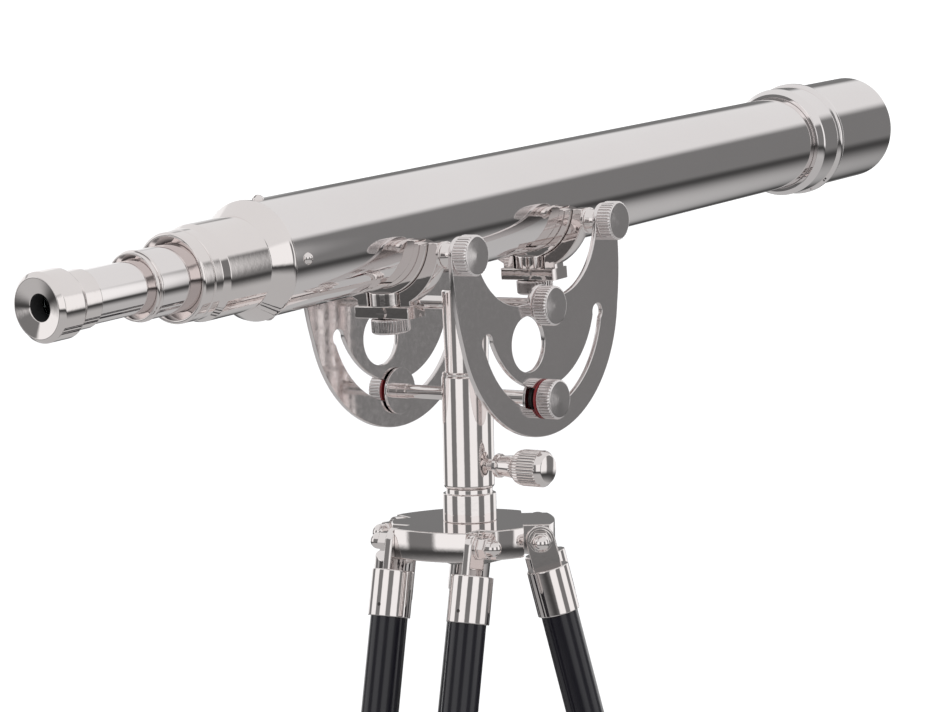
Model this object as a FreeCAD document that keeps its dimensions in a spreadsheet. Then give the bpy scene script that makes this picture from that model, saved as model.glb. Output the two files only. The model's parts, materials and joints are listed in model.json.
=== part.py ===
import FreeCAD, Part
import math
import os
import re
from FreeCAD import Vector

# Telescope on a folding tripod, all lengths in mm, floor at z = 0, +Z up.
# The origin is the middle of the whole outline on the floor, so the pan axis
# stands a little to one side of it; the objective end points to +X.

os.makedirs("parts", exist_ok=True)
doc = FreeCAD.newDocument("telescope_on_tripod")
sheet = doc.addObject("Spreadsheet::Sheet", "Dims")

# ---- driving dimensions -------------------------------------------------
# Cells with a formula follow the piece they sit on or line up with.
DIMS = [
    # heights and attitude
    ("pan_axis_x", -76.146), ("pan_axis_y", -22.118), ("hinge_height", 1323),
    ("pivot_above_hinge", 166.5), ("pivot_height", "=hinge_height + pivot_above_hinge"),
    ("tilt_deg", 5.5),
    # shared fits and small sizes
    ("run_gap", 0.05), ("face_gap", 0.3), ("edge", 1),
    # tripod head
    ("head_radius", 56.5), ("head_thick", 21), ("hinge_radius", 49.4), ("lug_half", 29),
    ("lug_reach", 11.5), ("lug_curve", 100), ("bolt_radius", 4), ("nut_flats", 13),
    ("nut_hex", 7), ("nut_dome", 9), ("leg_azimuth", -53), ("splay_deg", 13.3),
    # legs
    ("tab_thick", 6), ("tab_half_width", 10.2), ("tab_length", 20), ("ferrule_radius", 15),
    ("ferrule_height", 33), ("rod_radius", 13), ("rod_end", 760), ("clamp_height", 36),
    ("clamp_half_depth", 17), ("clamp_half_width", 49), ("lower_top", 650),
    ("guide_height", 24), ("foot_height", 45), ("foot_tip_radius", 12.5), ("foot_tip_height", 30),
    ("screw_radius", 3), ("screw_head_radius", 10), ("screw_head_length", 14),
    ("screw_stem", 10),
    # column
    ("spigot_radius", 14), ("collar_radius", 19.2), ("collar_height", 20), ("nut_washer", 1.5),
    ("sleeve_radius", 18.4), ("sleeve_seat", 34.5),
    ("sleeve_bottom", "=pivot_above_hinge - sleeve_seat"), ("sleeve_top", 50),
    ("neck_radius_low", 15.4), ("neck_radius_high", 17), ("neck_top", 10),
    ("cross_rod_radius", 5), ("plug_gap", 0.4), ("rod_end_radius", 4),
    ("lock_drop", 65.4), ("rod_collar", 7.5),
    ("pan_screw_drop", 115), ("pan_screw_radius", 4),
    # optical tube, stations measured along the tube from the column axis
    ("tube_radius", 38.1), ("tube_near", -222), ("tube_far", 520), ("wall", 1.6),
    ("tube_screw_radius", 1.8), ("axis_clear", 25.9), ("axis_rise", "=tube_radius + axis_clear"),
    # mount plates
    ("arm_reach", 12.7), ("arm_face", "=tube_radius + arm_reach"), ("spacer_length", 13.2),
    ("plate_gap", "=2 * (arm_face + spacer_length)"), ("plate_thick", 3.5),
    ("slot_outer_radius", 73), ("slot_inner_radius", 65.2), ("slot_inner_rise", 7.2),
    ("slot_half_angle", 78), ("slot_tip_radius", 4.6),
    ("hole_radius", 19.5), ("hole_back", 20), ("hole_drop", 24),
    ("horn_reach", 86), ("horn_height", 48), ("knob_radius", 14), ("knob_length", 12),
    ("horn_radius", 13), ("plate_depth", 92), ("top_rise", 4), ("pivot_boss_radius", 15),
    ("top_flat_half", 26), ("hollow_inset", 15), ("flank_inset", 6), ("flank_drop", 14),
    ("flank_bulge_height", 16), ("flank_bulge_inset", 0.6),
    # saddles
    ("strap_thick", 5), ("strap_width", 16), ("yoke_arm", 9.6), ("yoke_width", 12),
    ("bar_half", 23.5), ("bar_height", 8.5), ("bar_width", 19), ("bar_bottom", 4.5),
    ("window_half", 14), ("bar_screw_radius", 2), ("boss_radius", 13), ("saddle_screw_radius", 13.5),
    ("saddle_knob_length", 11), ("pin_radius", 4), ("spacer_radius", 6.5), ("bush_radius", 9),
    # eyepiece end: bushing, collars and draw tubes
    ("cone_step", 1.3), ("cone_radius", "=tube_radius + cone_step"),
    ("cone_length", 15.5), ("cone_near", "=tube_near - cone_length"),
    ("cone_root", 2), ("cone_far", "=tube_near - cone_root"),
    ("draw1_radius", 16.7), ("draw2_radius", 21.7),
    ("sleeve_step", 9.3), ("bush_sleeve_radius", "=draw2_radius + sleeve_step"),
    ("band_step", 7.1), ("band_radius", "=draw2_radius + band_step"),
    ("collar2_step", 6.1), ("collar2_radius", "=draw2_radius + collar2_step"),
    ("bushing_stand", 53.5), ("sleeve_start", "=tube_near - bushing_stand"),
    ("band_length", 5), ("band_end", "=sleeve_start - band_length"),
    ("collar2_length", 17), ("collar2_face", "=band_end - collar2_length"),
    ("draw2_out", 33.5), ("collar1_face", "=collar2_face - draw2_out"),
    ("collar1_step", 0.6), ("collar1_radius", "=draw2_radius + collar1_step"),
    ("collar1_length", 5), ("draw2_length", 141), ("draw2_end", "=collar1_face + draw2_length"),
    ("draw1_out", 80), ("eyecup_face", "=collar1_face - draw1_out"),
    ("eyecup_head", 19), ("eyecup_shoulder", "=eyecup_face + eyecup_head"),
    ("eyecup_length", 36.5), ("eyecup_end", "=eyecup_face + eyecup_length"),
    ("draw1_length", 149.5), ("draw1_end", "=eyecup_end + draw1_length"),
    ("eyecup_lip", 1.9), ("eyecup_rim", "=draw1_radius + eyecup_lip"),
    ("eyecup_step", 4.7), ("eyecup_radius", "=draw1_radius + eyecup_step"),
    ("neck_step", 1.4), ("eyecup_neck", "=draw1_radius + neck_step"),
    ("eye_hole", 8.4), ("dish_depth", 6),
    # objective end: dew cap and lens
    ("ring_set_back", 74), ("ring_near", "=tube_far - ring_set_back"),
    ("ring_length", 38), ("ring_far", "=ring_near + ring_length"),
    ("ring_step", 6.9), ("ring_radius", "=tube_radius + ring_step"),
    ("bead_step", 8.9), ("bead_radius", "=tube_radius + bead_step"),
    ("hood_step", 5.2), ("hood_radius", "=tube_radius + hood_step"),
    ("hood_out", 54), ("hood_end", "=tube_far + hood_out"),
    ("lens_inset", 5.1), ("lens_radius", "=tube_radius - lens_inset"),
    ("lens_set_back", 20), ("lens_station", "=tube_far - lens_set_back"),
]
for row, (alias, value) in enumerate(DIMS, 1):
    sheet.set("A%d" % row, alias)
    sheet.setAlias("B%d" % row, alias)
for row, (alias, value) in enumerate(DIMS, 1):
    sheet.set("B%d" % row, str(value))
doc.recompute()
NAMES = sorted((alias for alias, _ in DIMS), key=len, reverse=True)
WORD = re.compile(r"\b(" + "|".join(NAMES) + r")\b")


def val(alias):
    """Current value of one sheet cell."""
    return float(sheet.get(alias))


def ex(text):
    """An expression with every sheet alias written out in full."""
    return WORD.sub(r"Dims.\1", str(text))


# ---- small modelling kit ------------------------------------------------
TURN = {
    "Z": FreeCAD.Rotation(),
    "X": FreeCAD.Rotation(Vector(0, 1, 0), 90),
    "Y": FreeCAD.Rotation(Vector(1, 0, 0), -90),
}
count = [0]


def fresh(kind, hint):
    """A new document object with a numbered internal name."""
    count[0] += 1
    return doc.addObject(kind, "%s_%03d" % (hint, count[0]))


def put(obj, at, axis="Z"):
    """Turn a primitive's own Z to the axis and bind its position."""
    obj.Placement = FreeCAD.Placement(Vector(0, 0, 0), TURN[axis])
    for key, text in zip("xyz", at):
        obj.setExpression("Placement.Base." + key, ex(text))
    return obj


def cyl(radius, length, at=(0, 0, 0), axis="Z"):
    """A bound cylinder that starts at the point and runs along +axis."""
    obj = fresh("Part::Cylinder", "cyl")
    obj.setExpression("Radius", ex(radius))
    obj.setExpression("Height", ex(length))
    return put(obj, at, axis)


def cone(radius1, radius2, length, at=(0, 0, 0), axis="Z"):
    """A bound cone frustum that starts at the point and runs along +axis."""
    obj = fresh("Part::Cone", "cone")
    obj.setExpression("Radius1", ex(radius1))
    obj.setExpression("Radius2", ex(radius2))
    obj.setExpression("Height", ex(length))
    return put(obj, at, axis)


def box(size, at):
    """A bound box from its low corner."""
    obj = fresh("Part::Box", "box")
    for key, text in zip(("Length", "Width", "Height"), size):
        obj.setExpression(key, ex(text))
    return put(obj, at)


def ball(radius, at):
    """A bound sphere."""
    obj = fresh("Part::Sphere", "ball")
    obj.setExpression("Radius", ex(radius))
    return put(obj, at)


def hexagon(flats, length, at, axis):
    """A bound hexagonal prism, sized across its flats."""
    obj = fresh("Part::Prism", "hex")
    obj.Polygon = 6
    obj.setExpression("Circumradius", ex("(%s) / 1.7320508" % flats))
    obj.setExpression("Height", ex(length))
    return put(obj, at, axis)


def fuse(*items):
    """The union of two or more objects."""
    if len(items) == 1:
        return items[0]
    obj = fresh("Part::MultiFuse", "fuse")
    obj.Shapes = list(items)
    obj.Refine = True
    return obj


def cut(base, *tools):
    """The base with every tool taken away."""
    obj = fresh("Part::Cut", "cut")
    obj.Base = base
    obj.Tool = fuse(*tools)
    return obj


def common(base, tool):
    """What two objects share."""
    obj = fresh("Part::Common", "common")
    obj.Base = base
    obj.Tool = tool
    return obj


def solid(shape, hint):
    """A shape made in code, where no primitive fits."""
    obj = fresh("Part::Feature", hint)
    obj.Shape = shape
    return obj


def turned(stations, axis="X"):
    """A turned body: (start, end, start radius, end radius) along the axis."""
    pieces = []
    for low, high, r1, r2 in stations:
        length = "(%s) - (%s)" % (high, low)
        at = {"X": (low, 0, 0), "Y": (0, low, 0), "Z": (0, 0, low)}[axis]
        if str(r1) == str(r2):
            pieces.append(cyl(r1, length, at, axis))
        else:
            pieces.append(cone(r1, r2, length, at, axis))
    return fuse(*pieces)


PARTS = []


def part(label, items, frame):
    """One named sub-part: its solids in a group, set in its own frame."""
    obj = doc.addObject("Part::Compound", label)
    obj.Links = items
    obj.Label = label
    obj.Placement = frame
    PARTS.append(obj)
    return obj


# ---- frames ---------------------------------------------------------------
def pan_axis(height, turn=FreeCAD.Rotation()):
    """Frame on the pan axis at a height above the floor."""
    return FreeCAD.Placement(Vector(val("pan_axis_x"), val("pan_axis_y"), height), turn)


HEAD = pan_axis(val("hinge_height"))
PAN = pan_axis(val("pivot_height"))
SCOPE = pan_axis(val("pivot_height"), FreeCAD.Rotation(Vector(0, 1, 0), -val("tilt_deg")))
LEGS = ("a", "b", "c")


def leg_turn(index):
    """Turn about the pan axis from +X to the direction this leg points in."""
    angle = val("leg_azimuth") + 120 * index
    return FreeCAD.Placement(Vector(0, 0, 0), FreeCAD.Rotation(Vector(0, 0, 1), angle))


def leg_frame(index):
    """Frame of one leg: origin on its hinge axis, leg along -Z, +X outward."""
    out = FreeCAD.Placement(Vector(val("hinge_radius"), 0, 0), FreeCAD.Rotation())
    lean = FreeCAD.Rotation(Vector(0, 1, 0), -val("splay_deg"))
    return HEAD * leg_turn(index) * out * FreeCAD.Placement(Vector(0, 0, 0), lean)


# ---- tripod head ------------------------------------------------------------
def head_plate():
    """Round plate with three round-ended lugs, cut away beside them for the tabs."""
    disc = cyl("head_radius", "head_thick", (0, 0, "-head_thick / 2"))
    lugs = []
    bores = []
    for index in range(3):
        lug = common(
            box(
                ("hinge_radius + lug_reach", "2 * lug_half", "head_thick"),
                (0, "-lug_half", "-head_thick / 2"),
            ),
            cyl(
                "lug_curve", "head_thick",
                ("hinge_radius + lug_reach - lug_curve", 0, "-head_thick / 2"),
            ),
        )
        bore = cyl(
            "bolt_radius", "2 * lug_half + 2", ("hinge_radius", "-lug_half - 1", 0), "Y"
        )
        corners = [
            box(
                ("head_radius", "head_radius", "head_thick + 2"),
                ("hinge_radius - tab_half_width - 1.5", y, "-head_thick / 2 - 1"),
            )
            for y in ("lug_half", "-lug_half - head_radius")
        ]
        for item, store in ((lug, lugs), (bore, bores), (corners[0], bores), (corners[1], bores)):
            moved = fresh("Part::Compound", "third")
            moved.Links = [item]
            moved.Placement = leg_turn(index)
            store.append(moved)
    spigot_hole = cyl("spigot_radius", "head_thick + 2", (0, 0, "-head_thick / 2 - 1"))
    part("head_plate", [cut(fuse(disc, *lugs), spigot_hole, *bores)], HEAD)


def spigot():
    """Fixed post: collar on the plate, waist, and the pin the sleeve turns on."""
    top = "head_thick / 2"
    collar = cyl("collar_radius", "collar_height - edge", (0, 0, top))
    bevel = cone(
        "collar_radius", "collar_radius - edge", "edge", (0, 0, "head_thick / 2 + collar_height - edge")
    )
    sleeve_low = "pivot_height - hinge_height - sleeve_bottom"
    waist = cyl(
        "collar_radius - 2.5",
        sleeve_low + " - face_gap - head_thick / 2 - collar_height",
        (0, 0, "head_thick / 2 + collar_height"),
    )
    post = cyl(
        "spigot_radius",
        "pivot_height - hinge_height - lock_drop - cross_rod_radius - 5 + head_thick / 2 + 8",
        (0, 0, "-head_thick / 2 - 8"),
    )
    part("spigot", [fuse(collar, bevel, waist, post)], HEAD)


def spigot_nut():
    """Plain round nut and washer that hold the spigot under the plate."""
    washer = cut(
        cyl("spigot_radius + 9", 2, (0, 0, "-head_thick / 2 - 2")),
        cyl("spigot_radius", 4, (0, 0, "-head_thick / 2 - 3")),
    )
    nut = cut(
        hexagon("2 * spigot_radius + 12", 6, (0, 0, "-head_thick / 2 - 8"), "Z"),
        cyl("spigot_radius", 8, (0, 0, "-head_thick / 2 - 9")),
    )
    part("spigot_nut", [washer, nut], HEAD)


def acorn_nut(side):
    """Washer and domed nut on one end of a hinge bolt; side is +1 or -1 along Y."""
    face = "(lug_half + run_gap * 2 + tab_thick)"
    washer_low = face if side > 0 else "-%s - nut_washer" % face
    hex_low = face + " + nut_washer" if side > 0 else "-%s - nut_washer - nut_hex" % face
    neck_low = hex_low + " + nut_hex" if side > 0 else hex_low + " - nut_dome + nut_flats / 2 - 0.6"
    dome_at = "%s + nut_washer + nut_hex + nut_dome - nut_flats / 2 + 0.6" % face
    round_radius = "nut_flats / 2 - 0.6"
    washer = cut(
        cyl("nut_flats / 2 + 2", "nut_washer", (0, washer_low, 0), "Y"),
        cyl("bolt_radius", "nut_washer + 2", (0, washer_low + " - 1", 0), "Y"),
    )
    hexa = hexagon("nut_flats", "nut_hex", (0, hex_low, 0), "Y")
    neck = cyl(round_radius, "nut_dome - nut_flats / 2 + 0.6", (0, neck_low, 0), "Y")
    dome = ball(round_radius, (0, dome_at if side > 0 else "-(%s)" % dome_at, 0))
    bore_low = hex_low + " - 1" if side > 0 else hex_low
    bore = cyl("bolt_radius", "nut_hex + 1", (0, bore_low, 0), "Y")
    return [washer, cut(fuse(hexa, neck, dome), bore)]


def hinge_hardware():
    """Three hinge bolts, each with a washer and a domed nut at both ends."""
    items = []
    for index in range(3):
        half = "lug_half + run_gap * 2 + tab_thick + nut_washer + nut_hex"
        bolt = cyl("bolt_radius", "2 * (%s)" % half, (0, "-(%s)" % half, 0), "Y")
        group = doc.addObject("Part::Compound", "hinge_set_%d" % index)
        group.Links = [bolt] + acorn_nut(1) + acorn_nut(-1)
        group.Placement = leg_turn(index) * FreeCAD.Placement(
            Vector(val("hinge_radius"), 0, 0), FreeCAD.Rotation()
        )
        items.append(group)
    part("hinge_hardware", items, HEAD)


# ---- legs ---------------------------------------------------------------------
def ferrule(side):
    """Turned cap with a flat tab that hangs on the hinge bolt."""
    mid = "lug_half + run_gap * 2 + tab_thick / 2"
    y = mid if side > 0 else "-(%s)" % mid
    low = y + " - tab_thick / 2"
    plate = box(
        ("2 * tab_half_width", "tab_thick", "tab_length + 1"), ("-tab_half_width", low, "-tab_length - 1")
    )
    round_top = cyl("tab_half_width", "tab_thick", (0, low, 0), "Y")
    cap = cyl("ferrule_radius", "ferrule_height - edge", (0, y, "-tab_length - ferrule_height"))
    bevel = cone("ferrule_radius", "ferrule_radius - edge", "edge", (0, y, "-tab_length - edge"))
    bore = cyl("bolt_radius + run_gap", "tab_thick + 2", (0, low + " - 1", 0), "Y")
    socket = cyl(
        "rod_radius", "ferrule_height - 3 + 1", (0, y, "-tab_length - ferrule_height - 1")
    )
    return cut(fuse(plate, round_top, cap, bevel), bore, socket)


def rod_line(side):
    """Sideways station of an upper rod."""
    mid = "lug_half + run_gap * 2 + tab_thick / 2"
    return mid if side > 0 else "-(%s)" % mid


def clamp_block():
    """Stadium block that joins the upper rods and grips the lower rod."""
    low = "-rod_end"
    block = box(
        ("2 * clamp_half_depth", "2 * (clamp_half_width - clamp_half_depth)", "clamp_height"),
        ("-clamp_half_depth", "-(clamp_half_width - clamp_half_depth)", low),
    )
    ends = [
        cyl("clamp_half_depth", "clamp_height", (0, "clamp_half_width - clamp_half_depth", low)),
        cyl("clamp_half_depth", "clamp_height", (0, "-(clamp_half_width - clamp_half_depth)", low)),
    ]
    upper = [
        cyl("rod_radius", "clamp_height - 4 + 1", (0, rod_line(s), "-rod_end + 4")) for s in (1, -1)
    ]
    middle = cyl("rod_radius + run_gap", "clamp_height + 2", (0, 0, "-rod_end - 1"))
    screw = cyl(
        "screw_radius + run_gap", "clamp_half_depth + 2", (0, 0, "-rod_end + clamp_height / 2"), "X"
    )
    return cut(fuse(block, *ends), middle, screw, *upper)


def leg_parts(index):
    """Upper rods, metal fittings, clamp screw and lower section of one leg."""
    tag = LEGS[index]
    frame = leg_frame(index)
    rods = [
        cyl("rod_radius", "rod_end - 4 - tab_length - 3", (0, rod_line(s), "-rod_end + 4"))
        for s in (1, -1)
    ]
    part("leg_rods_" + tag, rods, frame)
    part("leg_fittings_" + tag, [ferrule(1), ferrule(-1), clamp_block()], frame)

    height = "-rod_end + clamp_height / 2"
    start = "rod_radius + run_gap + 0.2"
    head_at = "clamp_half_depth + screw_stem"
    stem = cyl("screw_radius", "clamp_half_depth + screw_stem - (%s)" % start, (start, 0, height), "X")
    seat = cyl("screw_radius + 2.5", "screw_stem - 2", ("clamp_half_depth + 2", 0, height), "X")
    grip = cyl("screw_head_radius", "screw_head_length - edge", (head_at, 0, height), "X")
    rim = cone(
        "screw_head_radius", "screw_head_radius - edge", "edge",
        (head_at + " + screw_head_length - edge", 0, height), "X",
    )
    part("leg_screw_" + tag, [fuse(stem, seat, grip, rim)], frame)

    # the lower rod ends where its socket starts; the tip's sole is cut flat to the floor
    sole = val("hinge_height") / math.cos(math.radians(val("splay_deg")))
    reach = "%.6f" % sole
    rod = cyl(
        "rod_radius", reach + " - foot_tip_height - foot_height + 20 - lower_top - 3",
        (0, 0, "-(%s - foot_tip_height - foot_height + 20)" % reach),
    )
    part("lower_rod_" + tag, [rod], frame)

    guide_block = fuse(
        box(
            ("2 * clamp_half_depth", "2 * (clamp_half_width - clamp_half_depth)", "guide_height"),
            ("-clamp_half_depth", "-(clamp_half_width - clamp_half_depth)", "-lower_top - guide_height"),
        ),
        *[
            cyl("clamp_half_depth", "guide_height",
                (0, sign + "(clamp_half_width - clamp_half_depth)", "-lower_top - guide_height"))
            for sign in ("", "-")
        ]
    )
    guide = cut(
        guide_block,
        cyl("rod_radius", "guide_height - 3 + 1", (0, 0, "-lower_top - guide_height - 1")),
        *[
            cyl(
                "rod_radius + run_gap", "guide_height + 2",
                (0, rod_line(s), "-lower_top - guide_height - 1"),
            )
            for s in (1, -1)
        ]
    )
    foot_low = "-(%s - foot_tip_height + 6)" % reach
    foot = cut(
        fuse(
            cyl("ferrule_radius", "foot_height - 12", (0, 0, foot_low + " + 10")),
            cone("foot_tip_radius + 1", "ferrule_radius", 10, (0, 0, foot_low)),
        ),
        cyl("rod_radius", "foot_height", (0, 0, "-(%s - foot_tip_height - foot_height + 20)" % reach)),
        cyl("foot_tip_radius - 3", 16, (0, 0, foot_low + " - 1")),
    )
    part("lower_fittings_" + tag, [guide, foot], frame)

    stud = cyl("foot_tip_radius - 3", 14, (0, 0, foot_low))
    pad = cone(
        "foot_tip_radius + 2", "foot_tip_radius", "foot_tip_height + 4",
        (0, 0, foot_low + " - foot_tip_height - 4"),
    )
    leaned = doc.addObject("Part::Compound", "tip_lean_" + tag)
    leaned.Links = [fuse(stud, pad)]
    leaned.Placement = frame
    room = box((1200, 1200, 200), (-600, -600, 0))
    part("foot_tip_" + tag, [common(leaned, room)], FreeCAD.Placement())


# ---- column ----------------------------------------------------------------------
def column_sleeve():
    """Thick sleeve that turns on the spigot; the lock rod passes through it."""
    tube = turned(
        [
            ("-sleeve_bottom", "-sleeve_bottom + 2", "sleeve_radius - 1.5", "sleeve_radius"),
            ("-sleeve_bottom + 2", "-sleeve_top - 2", "sleeve_radius", "sleeve_radius"),
            ("-sleeve_top - 2", "-sleeve_top", "sleeve_radius", "neck_radius_low + 0.6"),
        ],
        "Z",
    )
    bore = cyl(
        "spigot_radius + run_gap", "sleeve_bottom + 1 - lock_drop - cross_rod_radius - 3",
        (0, 0, "-sleeve_bottom - 1"),
    )
    lock = cyl("cross_rod_radius", "2 * sleeve_radius + 2", (0, "-sleeve_radius - 1", "-lock_drop"), "Y")
    seat = cyl("neck_radius_low - 4", 13, (0, 0, "-sleeve_top - 12"))
    screw = cyl(
        "pan_screw_radius + run_gap", "sleeve_radius + 1", (0, "-sleeve_radius - 1", "-pan_screw_drop"), "Y"
    )
    part("column_sleeve", [cut(tube, bore, lock, seat, screw)], PAN)


def column_neck():
    """Tapered post plugged into the sleeve; the pivot rod passes through it."""
    body = turned(
        [
            (
                "-lock_drop + cross_rod_radius + plug_gap", "-sleeve_top",
                "neck_radius_low - 4", "neck_radius_low - 4",
            ),
            ("-sleeve_top", "neck_top - edge", "neck_radius_low", "neck_radius_high"),
            ("neck_top - edge", "neck_top", "neck_radius_high", "neck_radius_high - edge"),
        ],
        "Z",
    )
    bore = cyl("cross_rod_radius", "2 * neck_radius_high + 4", (0, "-neck_radius_high - 2", 0), "Y")
    part("column_neck", [cut(body, bore)], PAN)


def cross_rod(label, height, reach, collar=""):
    """Round cross rod with a thinner end through each plate, and end collars if asked."""
    thick = cyl("cross_rod_radius", "plate_gap - 2 * (%s)" % reach,
                (0, "-plate_gap / 2 + (%s)" % reach, height), "Y")
    thin = cyl(
        "rod_end_radius", "plate_gap + 2 * plate_thick + 2 * 10",
        (0, "-plate_gap / 2 - plate_thick - 10", height), "Y",
    )
    collars = []
    if collar:
        for low in ("-plate_gap / 2 + (%s)" % reach, "plate_gap / 2 - (%s) - %s" % (reach, collar)):
            collars.append(cyl("cross_rod_radius + 0.6", collar, (0, low, height), "Y"))
    part(label, [fuse(thick, thin, *collars)], PAN)


def ring(radius, inner, thick, low, height):
    """A washer on the Y axis."""
    return cut(
        cyl(radius, thick, (0, low, height), "Y"),
        cyl(inner, "(%s) + 2" % thick, (0, "(%s) - 1" % low, height), "Y"),
    )


def lock_washers():
    """Washers of the tilt lock: metal discs inside, black bushes, red outside."""
    z = "-lock_drop"
    discs = []
    bushes = []
    reds = []
    for side in (1, -1):
        inner = "plate_gap / 2 - 3.4" if side > 0 else "-plate_gap / 2 + 1.4"
        discs.append(ring(17, "rod_end_radius", 2, inner, z))
        inner = "plate_gap / 2 - 1.4" if side > 0 else "-plate_gap / 2 + 0.2"
        bushes.append(ring(11, "rod_end_radius", 1.2, inner, z))
        outer = "plate_gap / 2 + plate_thick + 0.1" if side > 0 else "-plate_gap / 2 - plate_thick - 1.7"
        reds.append(ring("knob_radius", "rod_end_radius", 1.6, outer, z))
    part("lock_discs", discs, PAN)
    part("lock_bushes", bushes, PAN)
    part("lock_red_washers", reds, PAN)


def knob(label, side, face, radius, length, bore_radius, bore_length, frame, x=0, z=0):
    """Round knob on the Y axis with a chamfered face, screwed on a rod end."""
    if side > 0:
        low = "(%s)" % face
        body = cyl(radius, "(%s) - 1.5" % length, (x, low, z), "Y")
        rim = cone(radius, "(%s) - 1.5" % radius, 1.5, (x, low + " + (%s) - 1.5" % length, z), "Y")
        bore = cyl(bore_radius, "(%s) + 1" % bore_length, (x, low + " - 1", z), "Y")
    else:
        low = "-(%s) - (%s)" % (face, length)
        body = cyl(radius, "(%s) - 1.5" % length, (x, low + " + 1.5", z), "Y")
        rim = cone("(%s) - 1.5" % radius, radius, 1.5, (x, low, z), "Y")
        bore = cyl(
            bore_radius, "(%s) + 1" % bore_length, (x, "-(%s) - (%s)" % (face, bore_length), z), "Y"
        )
    part(label, [cut(fuse(body, rim), bore)], frame)


def pan_lock_screw():
    """Thumbscrew that locks the sleeve: thread, collar, flared knurled head."""
    z = "-pan_screw_drop"
    tip = "spigot_radius + run_gap + 0.2"
    pieces = [
        cyl("pan_screw_radius", "24 - (%s)" % tip, (0, "-24", z), "Y"),
        cone("pan_screw_radius + 4", "pan_screw_radius + 4.5", 3, (0, "-26", z), "Y"),
        cone(8, 7.2, 14, (0, "-40", z), "Y"),
        cone("knob_radius - 1", 8, 6, (0, "-46", z), "Y"),
        cyl("knob_radius - 1", 20, (0, "-66", z), "Y"),
        cone("knob_radius - 3.5", "knob_radius - 1", 4, (0, "-70", z), "Y"),
    ]
    part("pan_lock_screw", [fuse(*pieces)], PAN)


# ---- mount plates --------------------------------------------------------------------
# Outlines in the plate's own plane, in mm: x along the tube, z up from the pivot.
def arc3(p, q, r):
    """Arc through three plane points."""
    return Part.Arc(Vector(p[0], 0, p[1]), Vector(q[0], 0, q[1]), Vector(r[0], 0, r[1])).toShape()


def line2(p, q):
    """Straight edge between two plane points."""
    return Part.makeLine(Vector(p[0], 0, p[1]), Vector(q[0], 0, q[1]))


def plate_outline():
    """Closed wire: round bottom, two horns with round ends, hollow top."""
    reach = val("horn_reach")
    rise = val("horn_height")
    horn = val("horn_radius")
    side = reach + horn
    notch = reach - horn
    dip = val("top_rise")
    flat = val("top_flat_half")
    inset = val("hollow_inset")
    hump = val("pivot_boss_radius")
    hump_x = math.sqrt(hump ** 2 - dip ** 2)
    bulge = (side - val("flank_bulge_inset"), val("flank_bulge_height"))
    low = (side - val("flank_inset"), -val("flank_drop"))
    bottom = (0, -val("plate_depth"))
    edges = [
        arc3((-side, rise), (-reach, rise + horn), (-notch, rise)),
        arc3((-notch, rise), (-notch + inset, dip + inset), (-flat, dip)),
        line2((-flat, dip), (-hump_x, dip)),
        arc3((-hump_x, dip), (0, hump), (hump_x, dip)),
        line2((hump_x, dip), (flat, dip)),
        arc3((flat, dip), (notch - inset, dip + inset), (notch, rise)),
        arc3((notch, rise), (reach, rise + horn), (side, rise)),
        arc3((side, rise), bulge, low),
        arc3(low, bottom, (-low[0], low[1])),
        arc3((-low[0], low[1]), (-bulge[0], bulge[1]), (-side, rise)),
    ]
    return Part.Wire(edges)


def slot_wire():
    """Closed wire of the crescent slot that the lock rod rides in."""
    outer = val("slot_outer_radius")
    inner = val("slot_inner_radius")
    rise = val("slot_inner_rise")
    tip = val("slot_tip_radius")
    half = math.radians(val("slot_half_angle"))
    path = outer - tip - 3.0

    def on_outer(angle):
        return (outer * math.sin(angle), -outer * math.cos(angle))

    def on_inner(angle):
        return (inner * math.sin(angle), rise - inner * math.cos(angle))

    end = (path * math.sin(half), -path * math.cos(half))
    out_end = on_outer(half - 0.07)
    in_end = on_inner(half - 0.16)
    tip_top = (
        end[0] + tip * 0.9 * math.cos(half) - 0.2,
        end[1] + tip * 0.9 * math.sin(half),
    )
    left = [(-p[0], p[1]) for p in (out_end, in_end, tip_top)]
    edges = [
        arc3(left[0], (0, -outer), out_end),
        arc3(out_end, tip_top, in_end),
        arc3(in_end, (0, rise - inner), left[1]),
        arc3(left[1], left[2], left[0]),
    ]
    return Part.Wire(edges)


def mount_plate(label, low):
    """Polished plate with horns, crescent slot, round hole and pin holes."""
    thick = val("plate_thick")
    face = Part.Face(plate_outline())
    body = face.extrude(Vector(0, thick, 0))
    tools = [Part.Face(slot_wire()).extrude(Vector(0, thick, 0))]
    holes = [
        (0.0, 0.0, val("rod_end_radius") + val("run_gap")),
        (-val("hole_back"), -val("hole_drop"), val("hole_radius")),
        (val("horn_reach"), val("horn_height"), val("pin_radius")),
        (-val("horn_reach"), val("horn_height"), val("pin_radius")),
    ]
    for x, z, radius in holes:
        tools.append(Part.makeCylinder(radius, thick + 2, Vector(x, -1, z), Vector(0, 1, 0)))
    shape = body
    for tool in tools:
        shape = shape.cut(tool)
    obj = solid(shape, "plate")
    obj.Placement = FreeCAD.Placement(Vector(0, low, 0), FreeCAD.Rotation())
    part(label, [obj], SCOPE)


# ---- saddles ------------------------------------------------------------------------------
def saddle_ends():
    """The two stations of the saddles along the tube."""
    return ("-horn_reach", "horn_reach")


def horn_pins():
    """Four pins: one at each horn, through plate, spacer, yoke and strap."""
    pins = []
    reach = "plate_gap / 2 + plate_thick + 10 - tube_radius + 1"
    for x in saddle_ends():
        for low in ("tube_radius - 1", "-tube_radius + 1 - (%s)" % reach):
            pins.append(cyl("pin_radius", reach, (x, low, "horn_height"), "Y"))
    part("horn_pins", pins, SCOPE)


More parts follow.
